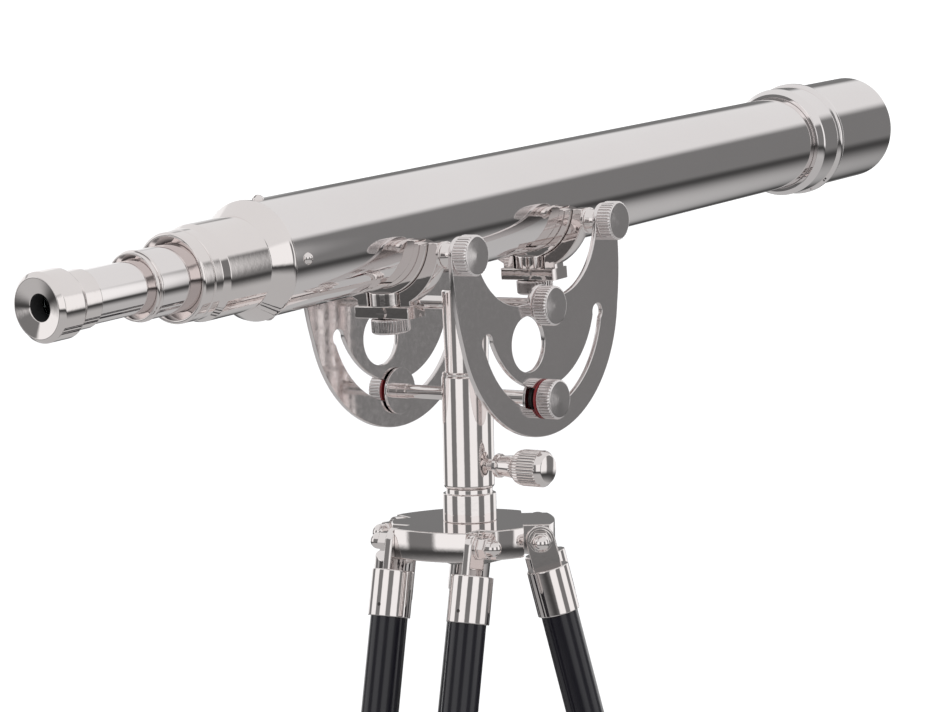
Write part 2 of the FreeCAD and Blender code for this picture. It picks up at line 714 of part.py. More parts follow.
def horn_spacers():
    """Four flanged spacers between the yokes and the plates."""
    spacers = []
    start = "arm_face"
    for x in saddle_ends():
        for side in (1, -1):
            length = "plate_gap / 2 - (%s)" % start
            low = start if side > 0 else "-plate_gap / 2"
            flange_low = start if side > 0 else "-(%s) - 3" % start
            body = fuse(
                cyl("spacer_radius", length, (x, low, "horn_height"), "Y"),
                cyl("bush_radius", 3, (x, flange_low, "horn_height"), "Y"),
            )
            bore_low = "0" if side > 0 else "-plate_gap / 2 - 1"
            bore = cyl("pin_radius", "plate_gap / 2 + 1", (x, bore_low, "horn_height"), "Y")
            spacers.append(cut(body, bore))
    part("horn_spacers", spacers, SCOPE)


def arm_band(inner, outer, width, x, top):
    """Lower half ring around the tube, flat where the pins pass."""
    low = "(%s) - (%s) / 2" % (x, width)
    band = cut(
        cyl(outer, width, (low, 0, "axis_rise"), "X"),
        cyl(inner, "(%s) + 2" % width, ("(%s) - 1" % low, 0, "axis_rise"), "X"),
    )
    above = box(
        ("(%s) + 2" % width, "2 * (%s) + 4" % outer, "2 * (%s)" % outer),
        ("(%s) - 1" % low, "-(%s) - 2" % outer, top),
    )
    return cut(band, above)


def pin_holes(x, radius):
    """One bore for both pins of a saddle."""
    return cyl(radius, "plate_gap", (x, "-plate_gap / 2", "horn_height"), "Y")


def saddle_straps():
    """Two curved straps that hug the tube's underside."""
    straps = []
    for x in saddle_ends():
        band = arm_band(
            "tube_radius", "tube_radius + strap_thick", "strap_width", x, "horn_height + 8"
        )
        straps.append(cut(band, pin_holes(x, "pin_radius")))
    part("saddle_straps", straps, SCOPE)


def saddle_yokes():
    """Two forks: a square bar below, curved arms up to the horn pins."""
    yokes = []
    inner = "tube_radius + strap_thick + 0.4"
    outer = "tube_radius + strap_thick + 0.4 + yoke_arm"
    for x in saddle_ends():
        arms = arm_band(inner, outer, "yoke_width", x, "horn_height + 9")
        low = "(%s) - bar_width / 2" % x
        arm_low = "(%s) - yoke_width / 2" % x
        bar = box(("bar_width", "2 * bar_half", "bar_height"), (low, "-bar_half", "bar_bottom"))
        cheeks = [
            box(("yoke_width", "bar_half - window_half", "16"), (arm_low, y, "bar_bottom"))
            for y in ("window_half", "-bar_half")
        ]
        window = box(
            ("bar_width + 2", "2 * window_half", "axis_rise"),
            ("(%s) - 1" % low, "-window_half", "bar_bottom + bar_height"),
        )
        room = cyl(inner, "bar_width + 2", ("(%s) - 1" % low, 0, "axis_rise"), "X")
        stem = cyl("screw_radius + 1 + run_gap", "bar_height + 2", (x, 0, "bar_bottom - 1"))
        flats = [
            box(("bar_width", "yoke_arm", "axis_rise"), (low, y, "horn_height - 14"))
            for y in ("arm_face", "-arm_face - yoke_arm")
        ]
        tap = cyl("bar_screw_radius", 6, (low + " - 1", 0, "bar_bottom + bar_height / 2"), "X")
        yokes.append(
            cut(fuse(arms, bar, *cheeks), window, room, stem, tap, pin_holes(x, "pin_radius"), *flats)
        )
    part("saddle_yokes", yokes, SCOPE)


def saddle_bosses():
    """Two round bosses between bar and strap, tapped for the clamp screws."""
    bosses = []
    for x in saddle_ends():
        body = cyl("boss_radius", "axis_rise - bar_bottom - bar_height", (x, 0, "bar_bottom + bar_height"))
        room = cyl(
            "tube_radius + strap_thick", "2 * boss_radius + 4", ("(%s) - boss_radius - 2" % x, 0, "axis_rise"), "X"
        )
        tap = cyl("screw_radius + 1 + run_gap", 6, (x, 0, "bar_bottom + bar_height - 1"))
        bosses.append(cut(body, room, tap))
    part("saddle_bosses", bosses, SCOPE)


def bar_screws():
    """Slotted cheese-head screws, one in the eyepiece-side face of each bar."""
    screws = []
    for x in saddle_ends():
        face = "(%s) - bar_width / 2" % x
        middle = "bar_bottom + bar_height / 2"
        head = cyl("2 * bar_screw_radius", 1.4, (face + " - 1.4", 0, middle), "X")
        shank = cyl("bar_screw_radius", 5, (face, 0, middle), "X")
        groove = box((1, 10, 1), (face + " - 1.6", -5, middle + " - 0.5"))
        screws.append(cut(fuse(head, shank), groove))
    part("bar_screws", screws, SCOPE)


def saddle_screw(label, x):
    """Knurled clamp screw under one saddle bar."""
    stem = cyl("screw_radius + 1", "bar_height + 5 + face_gap",
               (x, 0, "bar_bottom - face_gap - 1"))
    head = cyl(
        "saddle_screw_radius", "saddle_knob_length - 1.5",
        (x, 0, "bar_bottom - face_gap - saddle_knob_length + 1.5"),
    )
    rim = cone(
        "saddle_screw_radius - 1.5", "saddle_screw_radius", 1.5,
        (x, 0, "bar_bottom - face_gap - saddle_knob_length"),
    )
    part(label, [fuse(stem, head, rim)], SCOPE)


# ---- optical tube ----------------------------------------------------------------------------
AXIS = FreeCAD.Placement(Vector(0, 0, val("axis_rise")), FreeCAD.Rotation())
TUBE = SCOPE * AXIS


def main_tube():
    """Long plated tube."""
    body = cut(
        cyl("tube_radius", "tube_far - tube_near", ("tube_near", 0, 0), "X"),
        cyl("tube_radius - wall", "tube_far - tube_near + 2", ("tube_near - 1", 0, 0), "X"),
    )
    part("main_tube", [cut(body, *around_tube(shank_hole))], TUBE)


def end_bushing():
    """Cone flange, sleeve and collar that carry draw tube two."""
    body = turned(
        [
            ("collar2_face", "collar2_face + 1", "collar2_radius", "band_radius"),
            ("collar2_face + 1", "collar2_face + 9.5", "band_radius", "band_radius"),
            ("collar2_face + 9.5", "collar2_face + 10.3", "band_radius - 0.6", "band_radius - 0.6"),
            ("collar2_face + 10.3", "band_end", "band_radius", "band_radius"),
            ("band_end", "sleeve_start", "band_radius", "bush_sleeve_radius"),
            ("sleeve_start", "cone_near", "bush_sleeve_radius", "bush_sleeve_radius"),
            ("cone_near", "cone_far", "bush_sleeve_radius", "cone_radius"),
            ("cone_far", "tube_near", "cone_radius", "cone_radius"),
            ("tube_near", "tube_near + 22", "tube_radius - wall", "tube_radius - wall"),
        ]
    )
    bore = cyl("draw2_radius + run_gap", "tube_near + 30 - collar2_face", ("collar2_face - 2", 0, 0), "X")
    mouth = cone("collar2_radius - 1.2", "draw2_radius", 5, ("collar2_face - 0.01", 0, 0), "X")
    part("end_bushing", [cut(body, bore, mouth, *around_tube(shank_hole))], TUBE)


def around_tube(make):
    """Four copies of a small feature, set at the top, bottom and both sides."""
    copies = []
    for quarter in range(4):
        copy = fresh("Part::Compound", "quarter")
        copy.Links = [make()]
        copy.Placement = FreeCAD.Placement(
            Vector(0, 0, 0), FreeCAD.Rotation(Vector(1, 0, 0), 90 * quarter)
        )
        copies.append(copy)
    return copies


def shank_hole():
    """Bore for one bushing screw, through tube wall and bushing."""
    return cyl("tube_screw_radius", 12, ("tube_near + 12", 0, "tube_radius - 8"))


def bushing_screw():
    """Round-head slotted screw standing on the tube wall."""
    shank = cyl("tube_screw_radius", 8, ("tube_near + 12", 0, "tube_radius - 7.5"))
    dome = ball("2.3 * tube_screw_radius", ("tube_near + 12", 0, "tube_radius - 1.2"))
    round_tube = cyl("tube_radius", 20, ("tube_near + 2", 0, 0), "X")
    groove = box((12, 0.9, 3), ("tube_near + 6", -0.45, "tube_radius + 1.4"))
    return cut(fuse(shank, cut(dome, round_tube)), groove)


def bushing_screws():
    """Four round-head screws that hold the bushing in the tube."""
    part("bushing_screws", around_tube(bushing_screw), TUBE)


def objective():
    """Cell ring and doublet at the far end of the tube."""
    cell = cut(
        cyl("tube_radius - wall", 26, ("lens_station - 10", 0, 0), "X"),
        cyl("lens_radius", 22, ("lens_station - 4", 0, 0), "X"),
        cyl("lens_radius - 2.5", 30, ("lens_station - 12", 0, 0), "X"),
    )
    lip = cut(
        cyl("lens_radius", 3, ("lens_station + 9", 0, 0), "X"),
        cyl("lens_radius - 2.5", 5, ("lens_station + 8", 0, 0), "X"),
    )
    part("objective_cell", [cell, lip], TUBE)
    radius = val("lens_radius")
    at = val("lens_station")
    crown = Part.makeCylinder(radius, 13, Vector(at - 4, 0, 0), Vector(1, 0, 0))
    front = Part.makeSphere(180, Vector(at + 9 - 180, 0, 0))
    back = Part.makeSphere(240, Vector(at - 1 + 240, 0, 0))
    crown = crown.common(front).common(back)
    flint = Part.makeCylinder(radius, 6, Vector(at - 4, 0, 0), Vector(1, 0, 0))
    flint = flint.cut(Part.makeSphere(240.05, Vector(at - 1 + 240, 0, 0)))
    part("objective_lens", [solid(crown, "crown"), solid(flint, "flint")], TUBE)


def hood():
    """Dew cap with its double-bead ring, a slide fit over the tube end."""
    body = turned(
        [
            ("ring_near", "ring_near + 5", "tube_radius + 3.6", "ring_radius"),
            ("ring_near + 5", "ring_far - 10", "ring_radius", "ring_radius"),
            ("ring_far - 10", "ring_far - 7", "ring_radius", "bead_radius"),
            ("ring_far - 7", "ring_far - 3", "bead_radius", "bead_radius"),
            ("ring_far - 3", "ring_far", "bead_radius", "hood_radius"),
            ("ring_far", "hood_end - edge", "hood_radius", "hood_radius"),
            ("hood_end - edge", "hood_end", "hood_radius", "hood_radius - edge * 0.6"),
        ]
    )
    fit = cyl("tube_radius + run_gap", "ring_far + 8 - ring_near", ("ring_near - 1", 0, 0), "X")
    inside = cyl("hood_radius - wall", "hood_end - ring_far", ("ring_far + 3", 0, 0), "X")
    part("hood", [cut(body, fit, inside)], TUBE)


def draw_tubes():
    """Two draw tubes with the mouth collar of the outer one."""
    low = "collar1_face + collar1_length"
    outer = cut(
        cyl("draw2_radius", "draw2_end - (%s)" % low, (low, 0, 0), "X"),
        cyl("draw1_radius + run_gap + 2.4", "draw2_end - collar1_face + 4", ("collar1_face - 2", 0, 0), "X"),
    )
    part("draw_tube_2", [outer], TUBE)
    collar = cut(
        turned(
            [
                ("collar1_face", "collar1_face + 1.5", "collar1_radius - 0.9", "collar1_radius - 0.9"),
                ("collar1_face + 1.5", low, "collar1_radius", "collar1_radius"),
                (low, "%s + 22" % low, "draw1_radius + run_gap + 2.4", "draw1_radius + run_gap + 2.4"),
            ]
        ),
        cyl("draw1_radius + run_gap", "60", ("collar1_face - 2", 0, 0), "X"),
        cone("collar1_radius - 2", "draw1_radius", 3.5, ("collar1_face - 0.01", 0, 0), "X"),
    )
    part("draw_collar", [collar], TUBE)
    inner = cut(
        cyl("draw1_radius", "draw1_end - eyecup_end + 14", ("eyecup_end - 14", 0, 0), "X"),
        cyl("draw1_radius - wall", "draw1_end - eyecup_end + 20", ("eyecup_end - 16", 0, 0), "X"),
    )
    part("draw_tube_1", [inner], TUBE)


def eyepiece():
    """Dished eyecup with its eye lens, and the erecting lens down the tube."""
    body = turned(
        [
            ("eyecup_face", "eyecup_face + 3", "eyecup_rim", "eyecup_radius"),
            ("eyecup_face + 3", "eyecup_shoulder", "eyecup_radius", "eyecup_radius"),
            ("eyecup_shoulder", "eyecup_shoulder + 4", "eyecup_radius", "eyecup_neck"),
            ("eyecup_shoulder + 4", "eyecup_end", "eyecup_neck", "eyecup_neck"),
        ]
    )
    dish = cone("eyecup_rim - 0.5", "eye_hole", "dish_depth", ("eyecup_face - 0.01", 0, 0), "X")
    hole = cyl("eye_hole", 40, ("eyecup_face - 1", 0, 0), "X")
    room = cyl("draw1_radius - 3", "eyecup_end - eyecup_face - 13 + 2", ("eyecup_face + 13", 0, 0), "X")
    socket = cyl("draw1_radius", 20, ("eyecup_end - 14", 0, 0), "X")
    part("eyecup", [cut(body, dish, hole, room, socket)], TUBE)
    at = val("eyecup_face") + 13
    lens = Part.makeCylinder(val("draw1_radius") - 3, 5, Vector(at, 0, 0), Vector(1, 0, 0))
    lens = lens.common(Part.makeSphere(40, Vector(at + 5 - 40, 0, 0)))
    eye_lens = solid(lens, "lens")
    at = val("draw1_end") - 12
    inner = val("draw1_radius") - val("wall")
    cell = Part.makeCylinder(inner, 8, Vector(at, 0, 0), Vector(1, 0, 0))
    cell = cell.cut(Part.makeCylinder(inner - 3, 10, Vector(at - 1, 0, 0), Vector(1, 0, 0)))
    part("erector_cell", [solid(cell, "cell")], TUBE)
    glass = Part.makeCylinder(inner - 3, 5, Vector(at + 1.5, 0, 0), Vector(1, 0, 0))
    part("eyepiece_lenses", [eye_lens, solid(glass, "lens")], TUBE)


# ---- build ---------------------------------------------------------------------------------------
head_plate()
spigot()
spigot_nut()
hinge_hardware()
for leg in range(3):
    leg_parts(leg)
column_sleeve()
column_neck()
cross_rod("pivot_rod", "0", "0.1")
cross_rod("lock_rod", "-lock_drop", "3.4", "rod_collar")
lock_washers()
pan_lock_screw()
mount_plate("mount_plate_right", -val("plate_gap") / 2 - val("plate_thick"))
mount_plate("mount_plate_left", val("plate_gap") / 2)
horn_pins()
horn_spacers()
saddle_straps()
saddle_yokes()
saddle_bosses()
bar_screws()
saddle_screw("saddle_screw_near", "-horn_reach")
saddle_screw("saddle_screw_far", "horn_reach")
FACE = "plate_gap / 2 + plate_thick"
for tag, side in (("right", -1), ("left", 1)):
    knob("pivot_knob_" + tag, side, FACE + " + 0.1", "knob_radius", "knob_length",
         "rod_end_radius + run_gap", "10.2", PAN)
    knob("lock_knob_" + tag, side, FACE + " + 1.8", "knob_radius", "knob_length",
         "rod_end_radius + run_gap", "8.6", PAN, 0, "-lock_drop")
    for name, x in (("near", "-horn_reach"), ("far", "horn_reach")):
        knob("horn_knob_%s_%s" % (name, tag), side, FACE + " + 0.1", "knob_radius", "knob_length",
             "pin_radius + run_gap", "10.2", SCOPE, x, "horn_height")
main_tube()
end_bushing()
bushing_screws()
objective()
hood()
draw_tubes()
eyepiece()

doc.recompute()
problems = []
for obj in doc.Objects:
    if "Invalid" in obj.State or "Error" in obj.State:
        problems.append("%s %s" % (obj.Label, obj.State))
for obj in PARTS:
    shape = obj.Shape
    if shape.isNull() or not shape.isValid() or not shape.Solids:
        problems.append(obj.Label + " has no valid solid")
    else:
        shape.exportStep("parts/%s.step" % obj.Label)
        print("%-22s solids %d volume %.0f" % (obj.Label, len(shape.Solids), shape.Volume))
print("sub-parts", len(PARTS))
for line in problems:
    print("PROBLEM", line)
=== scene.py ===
import json
import math
import bmesh
import bpy
import numpy as np
from mathutils import Matrix


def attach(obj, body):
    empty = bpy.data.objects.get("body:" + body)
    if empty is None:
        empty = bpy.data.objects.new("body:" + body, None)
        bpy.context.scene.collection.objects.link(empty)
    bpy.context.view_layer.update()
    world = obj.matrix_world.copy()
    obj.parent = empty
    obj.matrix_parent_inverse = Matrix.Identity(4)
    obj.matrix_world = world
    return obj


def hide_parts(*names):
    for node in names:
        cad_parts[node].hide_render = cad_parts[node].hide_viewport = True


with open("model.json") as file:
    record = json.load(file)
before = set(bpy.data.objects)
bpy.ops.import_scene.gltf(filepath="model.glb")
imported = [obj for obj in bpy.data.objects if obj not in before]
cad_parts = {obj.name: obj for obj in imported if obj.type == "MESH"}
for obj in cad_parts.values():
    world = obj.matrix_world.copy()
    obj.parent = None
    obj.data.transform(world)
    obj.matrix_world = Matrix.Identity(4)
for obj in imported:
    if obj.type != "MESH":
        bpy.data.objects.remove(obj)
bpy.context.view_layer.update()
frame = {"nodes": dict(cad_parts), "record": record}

# ---- Tripod head plate ------------------------------------------------------
# A thick round plate with three lugs, cast, turned and nickel plated to a
# mirror. The spigot stands in its middle.
MM = 0.001
JOINT = {j["name"]: j for j in frame["record"]["behaviour"]["joints"]}


def basis(origin, x_dir, y_dir):
    """4x4 frame from an origin and two directions: columns X, Y, X cross Y, origin."""
    m = np.eye(4)
    x = np.array(x_dir, float) / np.linalg.norm(x_dir)
    y = np.array(y_dir, float) / np.linalg.norm(y_dir)
    m[:3, 0], m[:3, 1], m[:3, 2], m[:3, 3] = x, y, np.cross(x, y), origin
    return m


def shifted(m, x=0.0, y=0.0, z=0.0):
    """The same frame moved along its own axes by millimetres."""
    out = m.copy()
    out[:3, 3] = m[:3, 3] + m[:3, :3] @ (np.array([x, y, z]) * MM)
    return out


PIVOT = np.array(JOINT["tilt"]["pos_m"])
PAN = basis(PIVOT, (1, 0, 0), (0, 1, 0))
SCOPE = basis(PIVOT, JOINT["dew_cap_slide"]["axis"], (0, 1, 0))
TUBE_RISE = 64.0
TUBE = shifted(SCOPE, z=TUBE_RISE)
HEAD = basis((PIVOT[0], PIVOT[1], JOINT["leg_a_fold"]["pos_m"][2]), (1, 0, 0), (0, 1, 0))
AZIMUTHS = (-53.0, 67.0, 187.0)


def eased(profile, ease=0.6, closed=True):
    """Rounds every corner p of a profile: p + t((1-k)^2 u + k^2 v), where u and v
    point to its neighbours and t is the ease; one more point each side holds the flats."""
    p = np.array(profile, float)
    a, b = np.roll(p, 1, 0) - p, np.roll(p, -1, 0) - p
    la, lb = np.linalg.norm(a, axis=1), np.linalg.norm(b, axis=1)
    t = np.minimum(ease, 0.3 * np.minimum(la, lb))[:, None, None]
    ka = np.array([1.5, 1, .5625, .25, .0625, 0, 0])[None, :, None]
    kb = ka[:, ::-1]
    out = p[:, None] + t * (ka * (a / la[:, None])[:, None] + kb * (b / lb[:, None])[:, None])
    if closed:
        return out.reshape(-1, 2)
    return np.vstack([p[:1], out[1:-1].reshape(-1, 2), p[-1:]])


def spin(profile, m, axis="X", at=(0, 0, 0), n=96, closed=True, flutes=None, thread=None):
    """Surface of revolution: (s, r cos a, r sin a) over station s and angle a.
    flutes = (from, to, count, depth) lowers r by depth((1+cos(count a))/2)^3 there;
    thread = (from, to, pitch, depth) adds depth cos(2 pi s/pitch - a)."""
    s, r = np.asarray(profile, float).T
    a = np.linspace(0, 2 * np.pi, n, endpoint=False)
    rr = np.repeat(r[:, None], n, 1)
    if flutes:
        zone = ((s >= flutes[0]) & (s <= flutes[1]) & (r > 0.7 * r.max()))[:, None]
        rr = rr - zone * flutes[3] * (0.5 + 0.5 * np.cos(flutes[2] * a))[None] ** 3
    if thread:
        zone = ((s >= thread[0]) & (s <= thread[1]))[:, None]
        rr = rr + zone * thread[3] * np.cos(2 * np.pi * s[:, None] / thread[2] - a[None])
    along = np.repeat(s[:, None], n, 1)
    c, d = rr * np.cos(a), rr * np.sin(a)
    parts = {"X": (along, c, d), "Y": (d, along, c), "Z": (c, d, along)}[axis]
    v = np.stack(parts, -1).reshape(-1, 3) + np.array(at, float)
    idx = np.arange(v.shape[0]).reshape(len(s), n)
    rows = np.vstack([idx, idx[:1]]) if closed else idx
    nxt = np.roll(rows, -1, 1)
    q = np.stack([rows[:-1], nxt[:-1], nxt[1:], rows[1:]], -1).reshape(-1, 4)
    v = v * MM @ m[:3, :3].T + m[:3, 3]
    return v, q, None


def profile_slab(rings, low, high, bevel, plane, m):
    """Flat plate: closed rings (outline first, then holes) filled and given
    thickness from low to high, with edges rounded by the bevel."""
    data = bpy.data.curves.new("ring", "CURVE")
    data.dimensions, data.fill_mode = "2D", "BOTH"
    for k, ring in enumerate(rings):
        pts = np.asarray(ring, float)
        area = np.sum(pts[:, 0] * np.roll(pts[:, 1], -1) - pts[:, 1] * np.roll(pts[:, 0], -1))
        pts = pts if (area > 0) == (k == 0) else pts[::-1]
        line = data.splines.new("POLY")
        line.points.add(len(pts) - 1)
        line.points.foreach_set("co", np.c_[pts, np.zeros(len(pts)), np.ones(len(pts))].ravel())
        line.use_cyclic_u = True
    data.extrude = (high - low) / 2 - bevel
    data.bevel_depth, data.bevel_resolution, data.offset = bevel, 2, -bevel
    temp = bpy.data.objects.new("ring", data)
    bpy.context.scene.collection.objects.link(temp)
    mesh = bpy.data.meshes.new_from_object(temp.evaluated_get(bpy.context.evaluated_depsgraph_get()))
    bpy.data.objects.remove(temp)
    v = np.empty(len(mesh.vertices) * 3)
    mesh.vertices.foreach_get("co", v)
    v = v.reshape(-1, 3)
    v[:, 2] += (high + low) / 2
    order = {"XY": (0, 1, 2), "XZ": (0, 2, 1), "YZ": (2, 0, 1)}[plane]
    v = v[:, order]
    faces = [tuple(p.vertices) for p in mesh.polygons]
    v = v * MM @ m[:3, :3].T + m[:3, 3]
    return v, faces, m[:3, "XYZ".index((set("XYZ") - set(plane)).pop())]


def piece(name, surfaces, body, nodes, material, smooth=40):
    """One mesh object from several surfaces, faces outward, riding on a body."""
    mesh = bpy.data.meshes.new(name)
    verts, faces, base = [], [], 0
    for v, q, _ in surfaces:
        verts.append(v)
        faces += [tuple(i + base for i in f) for f in (q.tolist() if hasattr(q, "tolist") else q)]
        base += len(v)
    mesh.from_pydata(np.vstack(verts).tolist(), [], faces)
    obj = bpy.data.objects.new(name, mesh)
    bpy.context.scene.collection.objects.link(obj)
    work = bmesh.new()
    work.from_mesh(mesh)
    bmesh.ops.remove_doubles(work, verts=work.verts, dist=1e-7)
    bmesh.ops.recalc_face_normals(work, faces=work.faces)
    work.to_mesh(mesh)
    work.free()
    normals = np.empty(len(mesh.polygons) * 3)
    mesh.polygons.foreach_get("normal", normals)
    level = np.zeros(len(mesh.polygons), bool)
    for axis in [w for _, _, w in surfaces if w is not None]:
        level |= np.abs(normals.reshape(-1, 3) @ axis) > 0.9995
    mesh.set_sharp_from_angle(angle=math.radians(smooth))
    mesh.polygons.foreach_set("use_smooth", ~level)
    mesh.materials.append(material)
    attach(obj, body)
    if nodes:
        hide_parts(*nodes)
    return obj


def arc(cx, cz, r, a0, a1, n=24):
    """Points of a circular arc, angles in degrees."""
    a = np.radians(np.linspace(a0, a1, n))
    return np.c_[cx + r * np.cos(a), cz + r * np.sin(a)]


def plating_group():
    """Masks for plated metal: cloudy tint, polish unevenness and fine turned lines."""
    g = bpy.data.node_groups.new("plating", "ShaderNodeTree")
    for label, kind, io in (
        ("Cloud Scale", "NodeSocketFloat", "INPUT"), ("Line Scale", "NodeSocketVector", "INPUT"),
        ("Tint A", "NodeSocketColor", "INPUT"), ("Tint B", "NodeSocketColor", "INPUT"),
        ("Rough Low", "NodeSocketFloat", "INPUT"), ("Rough High", "NodeSocketFloat", "INPUT"),
        ("Color", "NodeSocketColor", "OUTPUT"), ("Roughness", "NodeSocketFloat", "OUTPUT"),
        ("Height", "NodeSocketFloat", "OUTPUT"),
    ):
        g.interface.new_socket(name=label, in_out=io, socket_type=kind)
    n, l = g.nodes, g.links
    gi, go = n.new("NodeGroupInput"), n.new("NodeGroupOutput")
    co = n.new("ShaderNodeTexCoord")
    cloud = n.new("ShaderNodeTexNoise")
    cloud.inputs["Detail"].default_value = 3
    l.new(co.outputs["Object"], cloud.inputs["Vector"])
    l.new(gi.outputs["Cloud Scale"], cloud.inputs["Scale"])
    tint = n.new("ShaderNodeMix")
    tint.data_type = "RGBA"
    l.new(cloud.outputs["Fac"], tint.inputs[0])
    l.new(gi.outputs["Tint A"], tint.inputs[6])
    l.new(gi.outputs["Tint B"], tint.inputs[7])
    l.new(tint.outputs[2], go.inputs["Color"])
    place = n.new("ShaderNodeMapping")
    l.new(co.outputs["Object"], place.inputs["Vector"])
    l.new(gi.outputs["Line Scale"], place.inputs["Scale"])
    lines = n.new("ShaderNodeTexNoise")
    lines.inputs["Scale"].default_value = 1
    lines.inputs["Detail"].default_value = 2
    l.new(place.outputs["Vector"], lines.inputs["Vector"])
    rough = n.new("ShaderNodeMapRange")
    rough.inputs["From Min"].default_value = 0.35
    rough.inputs["From Max"].default_value = 0.7
    l.new(lines.outputs["Fac"], rough.inputs["Value"])
    l.new(gi.outputs["Rough Low"], rough.inputs["To Min"])
    l.new(gi.outputs["Rough High"], rough.inputs["To Max"])
    l.new(rough.outputs["Result"], go.inputs["Roughness"])
    both = n.new("ShaderNodeMath")
    both.operation = "MULTIPLY_ADD"
    both.inputs[1].default_value = 0.15
    l.new(lines.outputs["Fac"], both.inputs[0])
    l.new(cloud.outputs["Fac"], both.inputs[2])
    l.new(both.outputs["Value"], go.inputs["Height"])
    return g


PLATING = plating_group()


def surface(name, metallic, tint_a, tint_b, low, high, bump=0.02, cloud=22.0, lines=(300, 300, 300),
            coat=0.0):
    """Principled material whose colour, roughness and height come from the plating masks."""
    mat = bpy.data.materials.new(name)
    mat.use_nodes = True
    n, l = mat.node_tree.nodes, mat.node_tree.links
    shader = n["Principled BSDF"]
    g = n.new("ShaderNodeGroup")
    g.node_tree = PLATING
    g.inputs["Cloud Scale"].default_value = cloud
    g.inputs["Line Scale"].default_value = lines
    g.inputs["Tint A"].default_value = (*tint_a, 1)
    g.inputs["Tint B"].default_value = (*tint_b, 1)
    g.inputs["Rough Low"].default_value = low
    g.inputs["Rough High"].default_value = high
    shader.inputs["Metallic"].default_value = metallic
    shader.inputs["Coat Weight"].default_value = coat
    l.new(g.outputs["Color"], shader.inputs["Base Color"])
    l.new(g.outputs["Roughness"], shader.inputs["Roughness"])
    b = n.new("ShaderNodeBump")
    b.inputs["Strength"].default_value = bump
    b.inputs["Distance"].default_value = 0.001
    l.new(g.outputs["Height"], b.inputs["Height"])
    l.new(b.outputs["Normal"], shader.inputs["Normal"])
    return mat


NICKEL = surface("nickel", 1, (.90, .855, .845), (.83, .78, .765), .015, .04, .10, 14)
NICKEL_TUBE = surface("nickel_tube", 1, (.90, .865, .86), (.84, .80, .795), .02, .05, .08, 9, (8, 260, 260))
NICKEL_FACE = surface("nickel_face", 1, (.87, .825, .82), (.80, .765, .76), .07, .14, .10, 20)
LUG_HALF, LUG_END, LUG_CURVE, SIDE_CUT, DISC_R, HEAD_T = 29.0, 60.9, 100.0, 37.7, 56.5, 21.0
HINGE_R = 49.4
turn = np.radians(np.linspace(0, 360, 1440, endpoint=False))
near = np.abs((turn - math.radians(AZIMUTHS[0]) + np.pi / 3) % (2 * np.pi / 3) - np.pi / 3)
off = LUG_END - LUG_CURVE
lug_rim = off * np.cos(near) + np.sqrt(LUG_CURVE**2 - (off * np.sin(near)) ** 2)
lug_tip = off + math.sqrt(LUG_CURVE**2 - LUG_HALF**2)
rim = np.where(
    near < math.atan2(LUG_HALF, lug_tip), lug_rim,
    np.where(near < math.atan2(LUG_HALF, SIDE_CUT), LUG_HALF / np.sin(np.maximum(near, .1)),
             np.minimum(SIDE_CUT / np.cos(near), DISC_R)))
head_ring = np.c_[rim * np.cos(turn), rim * np.sin(turn)]
piece("head_plate_plated", [profile_slab([head_ring], -HEAD_T / 2, HEAD_T / 2, .9, "XY", HEAD)],
      "head", ["head_plate"], NICKEL)

# ---- Spigot and its nut -----------------------------------------------------
# Turned post on the head plate: a wide collar, a narrow waist and the pin that
# the column turns on. A large nut and washer hold it under the plate.
SPIGOT_PROFILE = [(-18.5, 0), (-18.5, 14), (10.5, 14), (10.5, 19.2), (30.5, 19.2), (30.5, 16.7),
                  (34.2, 16.7), (34.2, 14), (91, 14), (91, 0)]
piece("spigot_turned", [spin(eased(SPIGOT_PROFILE, .9, False), HEAD, "Z", n=128, closed=False)],
      "head", ["spigot"], NICKEL)
STEEL = surface("turned_steel", 1, (.58, .57, .56), (.47, .46, .45), .22, .38, .2, 40)

# ---- Hinge bolts and domed nuts ---------------------------------------------
# Three bolts through the lugs. Each end carries a thin washer and a domed
# (acorn) nut with a hexagon; all bright nickel.
NUT_AF, TAB_FACE = 13.0, 35.1
hex_turn = np.radians(np.arange(0, 360, 60))
hexagon = np.c_[np.cos(hex_turn), np.sin(hex_turn)] * NUT_AF / math.sqrt(3)
bolts = []
for az in AZIMUTHS:
    a = math.radians(az)
    hinge = basis(HEAD[:3, 3] + HINGE_R * MM * np.array([math.cos(a), math.sin(a), 0]),
                  (math.cos(a), math.sin(a), 0), (-math.sin(a), math.cos(a), 0))
    bolts.append(spin([(-44, 0), (-44, 4), (44, 4), (44, 0)], hinge, "Y", n=48, closed=False))
    for side in (1, -1):
        f = side * TAB_FACE
        bolts.append(spin(eased([(f, 4), (f, 8.5), (f + side * 1.5, 8.5), (f + side * 1.5, 4)], .35),
                          hinge, "Y", n=64))
        low, high = sorted((f + side * 1.5, f + side * 8.5))
        bolts.append(profile_slab([hexagon], low, high, .5, "XZ", hinge))
        k = np.linspace(0, np.pi / 2, 12)
        dome = np.c_[f + side * (11.6 + 5.9 * np.sin(k)), 5.9 * np.cos(k)]
        base = f + side * 8.4
        cap = np.vstack([[(base, 0), (base, 5.9)], dome])
        cap[-1, 1] = 0
        bolts.append(spin(cap, hinge, "Y", n=64, closed=False))
piece("hinge_bolts", bolts, "head", ["hinge_hardware"], NICKEL)

